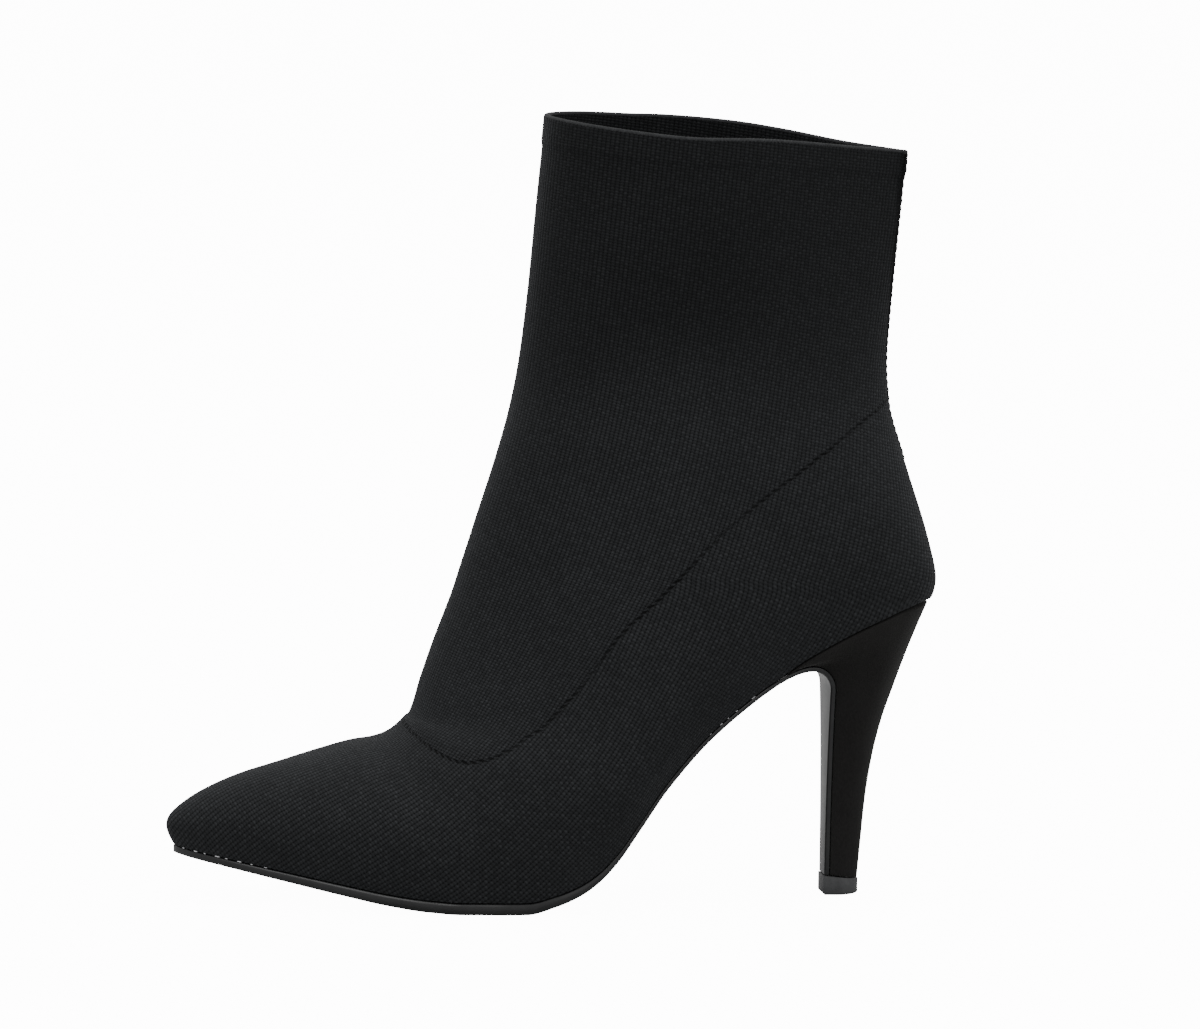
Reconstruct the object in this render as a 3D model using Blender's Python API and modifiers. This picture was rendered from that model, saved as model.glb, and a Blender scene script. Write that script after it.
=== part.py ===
"""Knit sock boot with a pointed toe and a thin covered heel: a left shoe, standing empty on its sole.

The toe points to -X, the heel is at +X, the outer (lateral) side is -Y and +Z is up. The origin is on the
floor, under the middle of the top lift. All lengths are metres. The tables hold shares of the named sizes.
"""
import math
from collections import namedtuple

import bmesh
import bpy

# Driving sizes of the boot
SHOE_LENGTH = 0.2330
HEEL_OVERHANG = 0.0275
BALL_WIDTH = 0.0780
INSTEP_HEIGHT = 0.0500
HEEL_HEIGHT = 0.0910
SHAFT_HEIGHT = 0.1354
COLLAR_RISE = 0.0118
COLLAR_WIDTH = 0.0510
TOE_SPRING = 0.0140

# Walls and thicknesses
WALL = 0.0018
HEM_STEP = 0.0004
HEM_DEPTH = 0.0085
SOLE_THICKNESS = 0.0035
FLAP_THICKNESS = 0.0015
INSOLE_THICKNESS = 0.0020
SOLE_EDGE = 0.0006
CLEARANCE = 0.0003

# Heel breast, heel tip and top lift
BREAST_REACH = 0.0052
BREAST_HEIGHT = 0.769 * HEEL_HEIGHT
BREAST_FILLET = 0.0065
TIP_BACK = 0.0057
TIP_WIDTH = 0.0104
LIFT_FRONT = 0.0060
LIFT_BACK = 0.0048
LIFT_BEVEL = 0.0005
LIFT_LIP = 0.0002

# How finely the forms are divided
COLUMNS = 18
OUTLINE_STEPS = 3
INSOLE_STEPS = 2
FILLET_STEPS = 6
BREAST_STEPS = 7
HEEL_COLUMNS = 11
HEM_RAMP = 0.04
HALVINGS = 30
NEAR = 0.0005
MERGE = 0.00002
SHARP_KNIT = 60
SHARP_EDGE = 35

TOE_X = HEEL_OVERHANG - SHOE_LENGTH

# The foot line, where the upper meets what carries it, with the sole's outline.
# along: share of SHOE_LENGTH from the toe. Its height is spring of TOE_SPRING, rise of HEEL_HEIGHT and tread
# of SOLE_THICKNESS. depth: the sole's depth under it, a share of SOLE_THICKNESS. centre and half: the middle
# and the half width of the outline, shares of BALL_WIDTH. tuck: how far the upper is drawn in to it, a share
# of the upper's own half width, fading out over ROLL_HEIGHT.
Foot = namedtuple("Foot", "along spring rise tread depth centre half tuck")
FOOT_LINE = (
    Foot(0.0086, 1.000, 0.000, 0.60, 0.60, 0.052, 0.000, 0.00),
    Foot(0.0240, 0.950, 0.000, 0.62, 0.62, 0.047, 0.078, 0.00),
    Foot(0.0660, 0.830, 0.000, 0.68, 0.68, 0.034, 0.166, 0.00),
    Foot(0.1440, 0.575, 0.000, 0.80, 0.80, 0.026, 0.272, 0.00),
    Foot(0.2100, 0.350, 0.000, 0.90, 0.90, 0.025, 0.349, 0.00),
    Foot(0.2750, 0.140, 0.000, 0.97, 0.97, 0.027, 0.414, 0.00),
    Foot(0.3250, 0.035, 0.000, 1.00, 1.00, 0.027, 0.453, 0.00),
    Foot(0.3650, 0.000, 0.000, 1.00, 1.00, 0.020, 0.470, 0.00),
    Foot(0.4100, 0.000, 0.000, 1.00, 1.00, 0.004, 0.469, 0.00),
    Foot(0.4480, 0.000, 0.000, 1.00, 1.00, -0.016, 0.449, 0.02),
    Foot(0.4850, 0.000, 0.022, 0.95, 0.95, -0.034, 0.416, 0.06),
    Foot(0.5180, 0.000, 0.054, 0.86, 0.88, -0.046, 0.377, 0.12),
    Foot(0.5450, 0.000, 0.098, 0.77, 0.82, -0.053, 0.344, 0.17),
    Foot(0.5730, 0.000, 0.171, 0.66, 0.76, -0.057, 0.312, 0.22),
    Foot(0.6000, 0.000, 0.265, 0.55, 0.70, -0.056, 0.283, 0.27),
    Foot(0.6400, 0.000, 0.406, 0.42, 0.66, -0.050, 0.247, 0.33),
    Foot(0.7000, 0.000, 0.573, 0.25, 0.58, -0.034, 0.219, 0.38),
    Foot(0.7600, 0.000, 0.704, 0.10, 0.52, -0.019, 0.221, 0.37),
    Foot(0.7900, 0.000, 0.760, 0.03, 0.50, -0.013, 0.231, 0.34),
    Foot(0.8120, 0.000, 0.803, 0.00, 0.50, -0.009, 0.241, 0.30),
    Foot(0.8620, 0.000, 0.880, 0.00, 0.50, -0.003, 0.265, 0.20),
    Foot(0.9130, 0.000, 0.944, 0.00, 0.50, 0.000, 0.269, 0.11),
    Foot(0.9500, 0.000, 0.981, 0.00, 0.50, 0.000, 0.231, 0.06),
    Foot(0.9750, 0.000, 0.996, 0.00, 0.50, 0.000, 0.163, 0.04),
    Foot(0.9914, 0.000, 1.000, 0.00, 0.50, 0.000, 0.000, 0.04),
)
SOLE_LEAVES = 0.772

# The sections of the upper, from the toe tip to the collar. Each runs from its front point over the foot's
# top to its low point on the foot line or on the back seam.
# front and low: shares of SHOE_LENGTH from the toe. instep: share of INSTEP_HEIGHT over the foot line.
# climb: share of the way from the throat to the collar's front. back: share of SHAFT_HEIGHT over the seat.
# lateral and medial: half widths, and ridge: the sideways place of the top, all shares of BALL_WIDTH.
# girth: the part of both half widths that follows the shaft, a share of COLLAR_WIDTH.
# widest: how far down the section is widest. top and under: fullness, 1 for an ellipse, more for pinched.
# bow: how far the section bends to the heel and up, a share of INSTEP_HEIGHT. steps: divisions to the next.
Section = namedtuple(
    "Section", "front instep climb low back lateral medial girth ridge widest top under bow steps"
)
SECTIONS = (
    Section(0.0176, 0.256, 0.000, 0.0086, 0.000, 0.000, 0.000, 0.000, 0.052, 0.58, 1.00, 1.00, -0.066, 4),
    Section(0.0330, 0.318, 0.000, 0.0240, 0.000, 0.094, 0.094, 0.000, 0.048, 0.60, 0.98, 1.00, -0.040, 2),
    Section(0.0570, 0.396, 0.000, 0.0540, 0.000, 0.164, 0.164, 0.000, 0.040, 0.62, 0.97, 1.00, -0.014, 2),
    Section(0.0930, 0.494, 0.000, 0.0970, 0.000, 0.236, 0.234, 0.000, 0.036, 0.66, 0.97, 1.00, 0.000, 3),
    Section(0.1490, 0.618, 0.000, 0.1740, 0.000, 0.342, 0.340, 0.000, 0.036, 0.70, 0.97, 1.00, 0.000, 3),
    Section(0.2010, 0.734, 0.000, 0.2680, 0.000, 0.442, 0.438, 0.000, 0.038, 0.72, 0.98, 1.00, 0.000, 3),
    Section(0.2410, 0.818, 0.000, 0.3750, 0.000, 0.505, 0.495, 0.000, 0.038, 0.72, 0.98, 1.00, 0.000, 3),
    Section(0.2680, 0.864, 0.000, 0.4740, 0.000, 0.500, 0.456, 0.000, 0.034, 0.69, 1.00, 1.00, 0.000, 2),
    Section(0.2900, 0.920, 0.000, 0.5640, 0.000, 0.466, 0.404, 0.000, 0.028, 0.62, 1.02, 0.98, 0.000, 3),
    Section(0.3100, 1.016, 0.000, 0.6560, 0.000, 0.410, 0.350, 0.040, 0.020, 0.62, 1.04, 0.94, 0.020, 3),
    Section(0.3260, 1.000, 0.066, 0.7500, 0.000, 0.341, 0.296, 0.100, 0.012, 0.62, 1.04, 0.86, 0.050, 3),
    Section(0.3425, 1.000, 0.130, 0.8470, 0.000, 0.256, 0.229, 0.200, 0.006, 0.61, 1.02, 0.76, 0.080, 2),
    Section(0.3570, 1.000, 0.180, 0.9130, 0.000, 0.178, 0.163, 0.300, 0.002, 0.585, 1.00, 0.65, 0.100, 2),
    Section(0.3670, 1.000, 0.215, 0.9560, 0.000, 0.141, 0.128, 0.350, 0.000, 0.56, 0.98, 0.58, 0.104, 4),
    Section(0.3750, 1.000, 0.248, 0.9914, 0.000, 0.120, 0.109, 0.380, 0.000, 0.54, 0.97, 0.60, 0.104, 3),
    Section(0.3850, 1.000, 0.288, 1.0000, 0.050, 0.089, 0.081, 0.420, 0.000, 0.52, 0.96, 0.60, 0.096, 2),
    Section(0.3990, 1.000, 0.345, 0.9880, 0.146, 0.046, 0.040, 0.480, 0.000, 0.51, 0.95, 0.69, 0.072, 2),
    Section(0.4205, 1.000, 0.432, 0.9600, 0.300, 0.002, 0.000, 0.538, 0.000, 0.48, 0.94, 0.96, 0.040, 2),
    Section(0.4380, 1.000, 0.515, 0.9360, 0.440, 0.000, 0.000, 0.530, 0.000, 0.45, 0.93, 1.15, 0.014, 2),
    Section(0.4490, 1.000, 0.590, 0.9320, 0.535, 0.000, 0.000, 0.522, 0.000, 0.43, 0.93, 1.30, 0.004, 3),
    Section(0.4600, 1.000, 0.710, 0.9370, 0.680, 0.000, 0.000, 0.514, 0.000, 0.40, 0.92, 1.55, 0.006, 3),
    Section(0.4700, 1.000, 0.860, 0.9450, 0.840, 0.000, 0.000, 0.506, 0.000, 0.37, 0.91, 1.85, 0.016, 3),
    Section(0.4800, 1.000, 1.000, 0.9530, 1.000, 0.000, 0.000, 0.502, 0.000, 0.35, 0.90, 2.10, 0.026, 0),
)
ROLL_HEIGHT = 0.0280
THROAT = 0.3040
TOE_TUCK = 0.85
FULLEST = 0.985

# The heel, from the seat down to the tip.
# front: share of the way along the breast flap. height: share of HEEL_HEIGHT at the back, over the tip.
# reach: share of HEEL_OVERHANG, half: share of BALL_WIDTH, widest: share of the ring's length.
Ring = namedtuple("Ring", "front height reach half widest")
HEEL_RINGS = (
    Ring(0.08, 0.985, 0.922, 0.288, 0.64),
    Ring(0.13, 0.930, 0.860, 0.266, 0.62),
    Ring(0.20, 0.860, 0.768, 0.232, 0.58),
    Ring(0.28, 0.775, 0.668, 0.198, 0.54),
    Ring(0.36, 0.680, 0.566, 0.165, 0.50),
    Ring(0.46, 0.570, 0.452, 0.134, 0.46),
    Ring(0.58, 0.440, 0.355, 0.107, 0.44),
    Ring(0.72, 0.290, 0.284, 0.086, 0.42),
    Ring(0.86, 0.140, 0.243, 0.073, 0.42),
    Ring(1.00, 0.000, 0.207, 0.067, 0.42),
)
HEEL_LIP = 3
FLAP_CENTRED = 0.3
LIFT_WIDEST = 0.42
LIFT_NARROW = 0.94

# The breast flap's half width along its way from the waist to the tip, a share of BALL_WIDTH.
Flap = namedtuple("Flap", "along half")
FLAP_WIDTH = (
    Flap(0.00, 0.224),
    Flap(0.10, 0.206),
    Flap(0.20, 0.168),
    Flap(0.30, 0.134),
    Flap(0.42, 0.108),
    Flap(0.58, 0.086),
    Flap(0.78, 0.070),
    Flap(1.00, 0.063),
)


def slopes(places, values):
    """Slope of a smooth curve at each place, level where the values turn, so that it never overshoots."""
    steps = [(values[i + 1] - values[i]) / (places[i + 1] - places[i]) for i in range(len(places) - 1)]
    inner = []
    for before, after in zip(steps, steps[1:]):
        inner.append(0.0 if before * after <= 0.0 else 2.0 * before * after / (before + after))
    return [steps[0]] + inner + [steps[-1]]


def smooth(places, values, at):
    """Value at one place on the smooth curve through the values, held level past its ends."""
    at = min(max(at, places[0]), places[-1])
    index = 0
    while index < len(places) - 2 and at > places[index + 1]:
        index += 1
    width = places[index + 1] - places[index]
    t = (at - places[index]) / width
    tangents = slopes(places, values)
    start = values[index] * (1 + 2 * t) * (1 - t) ** 2 + width * tangents[index] * t * (1 - t) ** 2
    end = values[index + 1] * t * t * (3 - 2 * t) - width * tangents[index + 1] * t * t * (1 - t)
    return start + end


def column(table, name):
    """One named column of a table as a list."""
    return [getattr(row, name) for row in table]


def read(table, key, name, at):
    """Smooth value of one column at a place given in the key column."""
    return smooth(column(table, key), column(table, name), at)


def read_round(table, key, name, at):
    """Smooth value of a half width that closes to a round end: its square is what runs smoothly."""
    squares = [value * value for value in column(table, name)]
    return math.sqrt(max(smooth(column(table, key), squares, at), 0.0))


def place_x(along):
    """X of a share of the shoe's length, counted from the toe."""
    return TOE_X + along * SHOE_LENGTH


def sole_depth(along):
    """Depth of the sole under the foot line."""
    return read(FOOT_LINE, "along", "depth", along) * SOLE_THICKNESS


def foot_height(along):
    """Height of the surface that carries the upper: the sole's top, and the heel's top at the seat."""
    spring = read(FOOT_LINE, "along", "spring", along) * TOE_SPRING
    rise = read(FOOT_LINE, "along", "rise", along) * HEEL_HEIGHT
    return spring + rise + read(FOOT_LINE, "along", "tread", along) * SOLE_THICKNESS


def foot_half(along):
    """Half width of the outline."""
    return read_round(FOOT_LINE, "along", "half", along) * BALL_WIDTH


def foot_centre(along):
    """Sideways place of the outline's middle: it swings inwards at the toe and outwards at the waist."""
    return read(FOOT_LINE, "along", "centre", along) * BALL_WIDTH


def outline_stations(first, last, steps):
    """Shares of the length from first to last, close together where the outline closes."""
    keys = [along for along in column(FOOT_LINE, "along") if first < along < last]
    keys = [first] + keys + [last]
    stations = []
    for start, end in zip(keys, keys[1:]):
        for step in range(steps):
            share = step / steps
            if start == FOOT_LINE[0].along:
                share = share ** 2
            elif end == FOOT_LINE[-1].along:
                share = 1 - (1 - share) ** 2
            stations.append(start + (end - start) * share)
    return stations + [keys[-1]]


def outline_point(along, side, inset):
    """Point of the outline on one side, -1 lateral or 1 medial, moved inwards by inset."""
    low = max(along - NEAR, FOOT_LINE[0].along)
    high = min(along + NEAR, FOOT_LINE[-1].along)
    half = foot_half(along)
    if half <= 0.0:
        inwards = 1 if along < SOLE_LEAVES else -1
        return place_x(along) + inwards * inset, foot_centre(along)
    ahead = (place_x(high), foot_centre(high) + side * foot_half(high))
    behind = (place_x(low), foot_centre(low) + side * foot_half(low))
    run, across = ahead[0] - behind[0], ahead[1] - behind[1]
    length = math.hypot(run, across)
    x = place_x(along) + side * inset * across / length
    y = foot_centre(along) + side * half - side * inset * run / length
    return x, y


def along_of(x):
    """Share of the shoe's length at an X."""
    return (x - TOE_X) / SHOE_LENGTH


def new_mesh_object(name, vertices, faces, collection):
    """Makes one object from vertices and faces, with doubled points merged and its faces turned outwards."""
    shape = bmesh.new()
    points = [shape.verts.new(vertex) for vertex in vertices]
    for face in faces:
        shape.faces.new([points[index] for index in face])
    bmesh.ops.remove_doubles(shape, verts=shape.verts, dist=MERGE)
    bmesh.ops.dissolve_degenerate(shape, edges=shape.edges, dist=MERGE)
    bmesh.ops.recalc_face_normals(shape, faces=shape.faces)
    mesh = bpy.data.meshes.new(name)
    shape.to_mesh(mesh)
    shape.free()
    thing = bpy.data.objects.new(name, mesh)
    collection.objects.link(thing)
    return thing


def shade_round(thing, angle):
    """Smooth shading with sharp edges kept past an angle in degrees."""
    thing.data.shade_smooth()
    thing.data.set_sharp_from_angle(angle=math.radians(angle))


def dress(thing, name, colour, roughness):
    """Gives an object a plain material of its own."""
    material = bpy.data.materials.new(name)
    material.use_nodes = True
    shader = material.node_tree.nodes["Principled BSDF"]
    shader.inputs["Base Color"].default_value = (*colour, 1.0)
    shader.inputs["Roughness"].default_value = roughness
    shader.inputs["Metallic"].default_value = 0.0
    thing.data.materials.append(material)


def strip_faces(rows, width):
    """Faces between neighbouring rows of a grid whose rows each hold width points."""
    faces = []
    for row in range(rows - 1):
        for place in range(width - 1):
            first = row * width + place
            faces.append((first, first + 1, first + width + 1, first + width))
    return faces


def tube_faces(rows, width):
    """Faces of a grid whose rows are closed loops, with both end loops filled by strips across."""
    faces = []
    for row in range(rows - 1):
        for place in range(width):
            first = row * width + place
            second = row * width + (place + 1) % width
            faces.append((first, second, second + width, first + width))
    for row in (0, rows - 1):
        for place in range(width // 2 - 1):
            near = row * width + place
            far = row * width + width - 1 - place
            faces.append((near, near + 1, far - 1, far))
    return faces


def section_at(place):
    """All columns of the section table at a place counted in rows, smooth between them."""
    index = [float(i) for i in range(len(SECTIONS))]
    return Section(*(smooth(index, column(SECTIONS, name), place) for name in Section._fields))


def section_half(name, place):
    """Half width of a section on one side, round at the toe."""
    index = [float(i) for i in range(len(SECTIONS))]
    halves = [getattr(section, name) * BALL_WIDTH + section.girth * COLLAR_WIDTH for section in SECTIONS]
    return math.sqrt(max(smooth(index, [half * half for half in halves], place), 0.0))


def section_places():
    """Places of the grid's rows in the section table, close together where the outline closes."""
    places = []
    for index, section in enumerate(SECTIONS[:-1]):
        for step in range(section.steps):
            share = step / section.steps
            if index == 0:
                share = share ** 2
            elif SECTIONS[index + 1].low == FOOT_LINE[-1].along:
                share = 1 - (1 - share) ** 2
            places.append(index + share)
    last = float(len(SECTIONS) - 1)
    hem = hem_place()
    below = [place for place in places if place < hem - 2 * HEM_RAMP]
    return below + [hem - HEM_RAMP, hem, (hem + last) / 2, last]


def hem_place():
    """Place in the section table where the hem at the collar begins, found by halving."""
    low, high = float(len(SECTIONS) - 2), float(len(SECTIONS) - 1)
    aim = front_height(SECTIONS[-1]) - HEM_DEPTH
    for _ in range(HALVINGS):
        middle = (low + high) / 2
        if front_height(section_at(middle)) < aim:
            low = middle
        else:
            high = middle
    return high


def front_height(section):
    """Height of a section's front point, on the instep or on the front of the shaft."""
    throat = foot_height(THROAT) + INSTEP_HEIGHT
    collar = HEEL_HEIGHT + SHAFT_HEIGHT + COLLAR_RISE
    start = foot_height(min(section.front, THROAT)) + section.instep * INSTEP_HEIGHT
    return start + section.climb * (collar - throat)


def low_height(section):
    """Height of a section's low point, on the foot line or on the back seam."""
    if section.back > 0.0:
        return HEEL_HEIGHT + CLEARANCE + section.back * SHAFT_HEIGHT
    return foot_height(section.low) + CLEARANCE


def tucked_in(along, above):
    """Share by which the upper is drawn in at a place, above the foot line by a height."""
    roll = min(max(1 - above / ROLL_HEIGHT, 0.0), 1.0)
    return read(FOOT_LINE, "along", "tuck", along) * roll * roll


def upper_row(place):
    """Points of one section of the upper's outer face, from the lateral edge over the top to the medial."""
    section = section_at(place)
    front = (place_x(section.front), front_height(section))
    low = (place_x(section.low), low_height(section))
    swell = HEM_STEP if place >= hem_place() else 0.0
    front = (front[0] - swell, front[1])
    low = (low[0] + swell, low[1])
    length = math.hypot(low[0] - front[0], low[1] - front[1])
    along = ((low[0] - front[0]) / length, (low[1] - front[1]) / length)
    across = (-along[1], along[0])
    ridge = section.ridge * BALL_WIDTH
    edge = 0.0 if section.back > 0.0 else foot_half(section.low)
    middle = foot_centre(section.low)
    points = []
    for side, name in ((-1, "lateral"), (1, "medial")):
        half = section_half(name, place) + swell
        reach = max(side * (middle - ridge) + edge, 0.0) / (1 - tucked_in(section.low, 0.0))
        half = max(half, reach / FULLEST)
        ratio = reach / half if half > MERGE else TOE_TUCK
        closing = math.pi - math.asin(ratio ** (1 / section.under))
        arc = []
        for step in range(COLUMNS + 1):
            angle = closing * step / COLUMNS
            if angle < math.pi / 2:
                down = section.widest * (1 - math.cos(angle))
                out = math.sin(angle) ** section.top
            else:
                down = section.widest - (1 - section.widest) * math.cos(angle) / -math.cos(closing)
                out = max(math.sin(angle), 0.0) ** section.under
            bend = section.bow * INSTEP_HEIGHT * math.sin(math.pi * down)
            x = front[0] + along[0] * length * down + across[0] * bend
            z = front[1] + along[1] * length * down + across[1] * bend
            above = z - CLEARANCE - foot_height(along_of(x))
            width = half * out * (1 - tucked_in(along_of(x), above))
            arc.append((x, ridge + side * width, z))
        points.append(arc)
    lateral, medial = points
    return lateral[::-1] + medial[1:]


def make_upper(collection):
    """The knitted upper: one shell with a real wall, open at the collar and underneath."""
    rows = [upper_row(place) for place in section_places()]
    width = len(rows[0])
    vertices = [point for row in rows for point in row]
    upper = new_mesh_object("upper", vertices, strip_faces(len(rows), width), collection)
    wall = upper.modifiers.new("wall", "SOLIDIFY")
    wall.thickness = WALL
    wall.offset = -1.0
    wall.use_even_offset = True
    bpy.context.view_layer.objects.active = upper
    bpy.ops.object.modifier_apply(modifier=wall.name)
    rest_on_foot_line(upper)
    shade_round(upper, SHARP_KNIT)
    return upper


def rest_on_foot_line(upper):
    """Lifts the parts of the wall's lower edge that reach under the foot line onto it."""
    for vertex in upper.data.vertices:
        along = along_of(vertex.co.x)
        inside = abs(vertex.co.y - foot_centre(along)) < foot_half(along) - CLEARANCE
        if inside and along < FOOT_LINE[-1].along:
            vertex.co.z = max(vertex.co.z, foot_height(along) + CLEARANCE)


def breast_path():
    """Outer face of the breast flap in the middle plane, from the waist to the top lift, with its normals."""
    depth = sole_depth(SOLE_LEAVES)
    rise = (foot_height(SOLE_LEAVES) - foot_height(SOLE_LEAVES - NEAR)) / (NEAR * SHOE_LENGTH)
    start = (place_x(SOLE_LEAVES), foot_height(SOLE_LEAVES) - depth)
    turn = (-BREAST_REACH - BREAST_FILLET, BREAST_HEIGHT)
    reach = turn[0] - start[0]
    points = []
    for index in range(FILLET_STEPS):
        t = index / FILLET_STEPS
        x = start[0] + reach * t
        ease = start[1] * (1 + 2 * t) * (1 - t) ** 2 + rise * reach * t * (1 - t) ** 2
        z = ease + turn[1] * t * t * (3 - 2 * t)
        slope = (turn[1] - start[1]) * 6 * t * (1 - t) / reach + rise * (1 - t) * (1 - 3 * t)
        tilt = math.atan(slope)
        points.append((x, z, -math.sin(tilt), math.cos(tilt)))
    for index in range(FILLET_STEPS + 1):
        angle = math.pi / 2 * (1 - index / FILLET_STEPS)
        x = turn[0] + BREAST_FILLET * math.cos(angle)
        z = turn[1] - BREAST_FILLET + BREAST_FILLET * math.sin(angle)
        points.append((x, z, math.cos(angle), math.sin(angle)))
    top, bottom = BREAST_HEIGHT - BREAST_FILLET, LIFT_FRONT + CLEARANCE
    for index in range(1, BREAST_STEPS + 1):
        points.append((-BREAST_REACH, top + (bottom - top) * index / BREAST_STEPS, 1.0, 0.0))
    return points


def path_shares(path):
    """Share of the way along a path at each of its points."""
    total = [0.0]
    for before, after in zip(path, path[1:]):
        total.append(total[-1] + math.hypot(after[0] - before[0], after[1] - before[1]))
    return [length / total[-1] for length in total]


def flap_centre(share):
    """Sideways place of the flap's middle: the waist's own at first, then the middle plane."""
    return foot_centre(SOLE_LEAVES) * max(1 - share / FLAP_CENTRED, 0.0)


def make_outsole(collection):
    """The sole from the toe to the waist, going on as the flap down the heel's breast."""
    stations = outline_stations(FOOT_LINE[0].along, SOLE_LEAVES, OUTLINE_STEPS)
    vertices = []
    for along in stations[:-1]:
        high = foot_height(along)
        low = high - sole_depth(along)
        half, centre = foot_half(along), foot_centre(along)
        cut = min(SOLE_EDGE, half / 2)
        x = place_x(along)
        vertices += [(x, centre - half, high), (x, centre - half, low + cut), (x, centre - half + cut, low)]
        vertices += [(x, centre + half - cut, low), (x, centre + half, low + cut), (x, centre + half, high)]
    path = breast_path()
    for share, (x, z, across, up) in zip(path_shares(path), path):
        half = read(FLAP_WIDTH, "along", "half", share) * BALL_WIDTH
        centre = flap_centre(share)
        inner = (x + across * FLAP_THICKNESS, z + up * FLAP_THICKNESS)
        edge = (x + across * SOLE_EDGE, z + up * SOLE_EDGE)
        vertices += [(inner[0], centre - half, inner[1]), (edge[0], centre - half, edge[1])]
        vertices += [(x, centre - half + SOLE_EDGE, z), (x, centre + half - SOLE_EDGE, z)]
        vertices += [(edge[0], centre + half, edge[1]), (inner[0], centre + half, inner[1])]
    outsole = new_mesh_object("outsole", vertices, tube_faces(len(vertices) // 6, 6), collection)
    shade_round(outsole, SHARP_EDGE)
    return outsole


def make_insole(collection):
    """The insole board, inside the upper's wall, lying along the foot line from the toe to the seat."""
    inset = WALL + 3 * CLEARANCE
    lift = CLEARANCE + INSOLE_THICKNESS
    vertices = []
    for along in outline_stations(FOOT_LINE[0].along, FOOT_LINE[-1].along, INSOLE_STEPS):
        sides = [outline_point(along, side, inset) for side in (-1, 1)]
        cut = min(SOLE_EDGE, abs(sides[1][1] - sides[0][1])) / 2
        for side, (x, y) in zip((-1, 1), sides):
            high = foot_height(along_of(x)) + lift
            low = high - INSOLE_THICKNESS
            profile = [(x, y, high), (x, y, low + cut), (x, y - side * cut, low)]
            vertices += profile if side < 0 else profile[::-1]
    insole = new_mesh_object("insole", vertices, tube_faces(len(vertices) // 6, 6), collection)
    shade_round(insole, SHARP_EDGE)
    return insole


def ring_widths(front, widest, half, count):
    """Half widths of a ring from its flat front round to its back, at evenly eased places."""
    places = [0.0, widest, 1.0]
    squares = [front * front, half * half, 0.0]
    widths = []
    for index in range(count):
        share = math.sin(math.pi / 2 * index / (count - 1))
        widths.append((share, math.sqrt(max(smooth(places, squares, share), 0.0))))
    return widths


def seat_ring(front):
    """The heel's top ring, on the foot line and with its outline, from an X at the lip to the seat's end."""
    lateral, medial = [], []
    for index in range(HEEL_COLUMNS):
        share = math.sin(math.pi / 2 * index / (HEEL_COLUMNS - 1))
        along = along_of(front) + (FOOT_LINE[-1].along - along_of(front)) * share
        x, z = place_x(along), foot_height(along)
        lateral.append((x, foot_centre(along) - foot_half(along), z))
        medial.append((x, foot_centre(along) + foot_half(along), z))
    return lateral + medial[::-1]


def heel_ring(share, front):
    """One ring of the heel under its seat, from its front point on the breast to its back point."""
    tip = LIFT_BACK + CLEARANCE
    reach = read(HEEL_RINGS, "front", "reach", share) * HEEL_OVERHANG
    height = tip + read(HEEL_RINGS, "front", "height", share) * (HEEL_HEIGHT - tip)
    breast = read(FLAP_WIDTH, "along", "half", share) * BALL_WIDTH
    half = read(HEEL_RINGS, "front", "half", share) * BALL_WIDTH
    widest = read(HEEL_RINGS, "front", "widest", share)
    lateral, medial = [], []
    for place, width in ring_widths(breast, widest, half, HEEL_COLUMNS):
        x = front[0] + (reach - front[0]) * place
        z = front[1] + (height - front[1]) * place
        middle = flap_centre(share) * (1 - place)
        lateral.append((x, middle - width, z))
        medial.append((x, middle + width, z))
    return lateral + medial[::-1]


def make_heel(collection):
    """The covered heel: rings from the seat, cupped to the foot line, down to the tip."""
    path = breast_path()
    shares = path_shares(path)
    depth = FLAP_THICKNESS + CLEARANCE
    fronts = [(x + across * depth, z + up * depth) for x, z, across, up in path]
    vertices = seat_ring(fronts[HEEL_LIP][0])
    for share, front in zip(shares[HEEL_LIP:], fronts[HEEL_LIP:]):
        vertices += heel_ring(share, front)
    faces = tube_faces(len(vertices) // (2 * HEEL_COLUMNS), 2 * HEEL_COLUMNS)
    heel = new_mesh_object("heel", vertices, faces, collection)
    shade_round(heel, SHARP_EDGE)
    return heel


def lift_ring(inset, top):
    """One ring of the top lift, drawn in by an inset, at the floor or along its sloping top."""
    front = inset - BREAST_REACH - LIFT_LIP
    back = TIP_BACK + LIFT_LIP - inset
    lateral, medial = [], []
    for place, width in ring_widths(TIP_WIDTH / 2 * LIFT_NARROW, LIFT_WIDEST, TIP_WIDTH / 2, HEEL_COLUMNS):
        x = front + (back - front) * place
        half = max(width + LIFT_LIP - inset, 0.0) if width > 0.0 else 0.0
        height = LIFT_FRONT + (LIFT_BACK - LIFT_FRONT) * place if top else 0.0
        lateral.append((x, -half, height))
        medial.append((x, half, height))
    return lateral + medial[::-1]


def make_top_lift(collection):
    """The top lift: a D-shaped rubber piece under the heel's tip and the end of the flap."""
    side = [(x, y, LIFT_BEVEL) for x, y, _ in lift_ring(0.0, False)]
    vertices = lift_ring(LIFT_BEVEL, False) + side + lift_ring(0.0, True)
    lift = new_mesh_object("top_lift", vertices, tube_faces(3, 2 * HEEL_COLUMNS), collection)
    shade_round(lift, SHARP_EDGE)
    return lift


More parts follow.
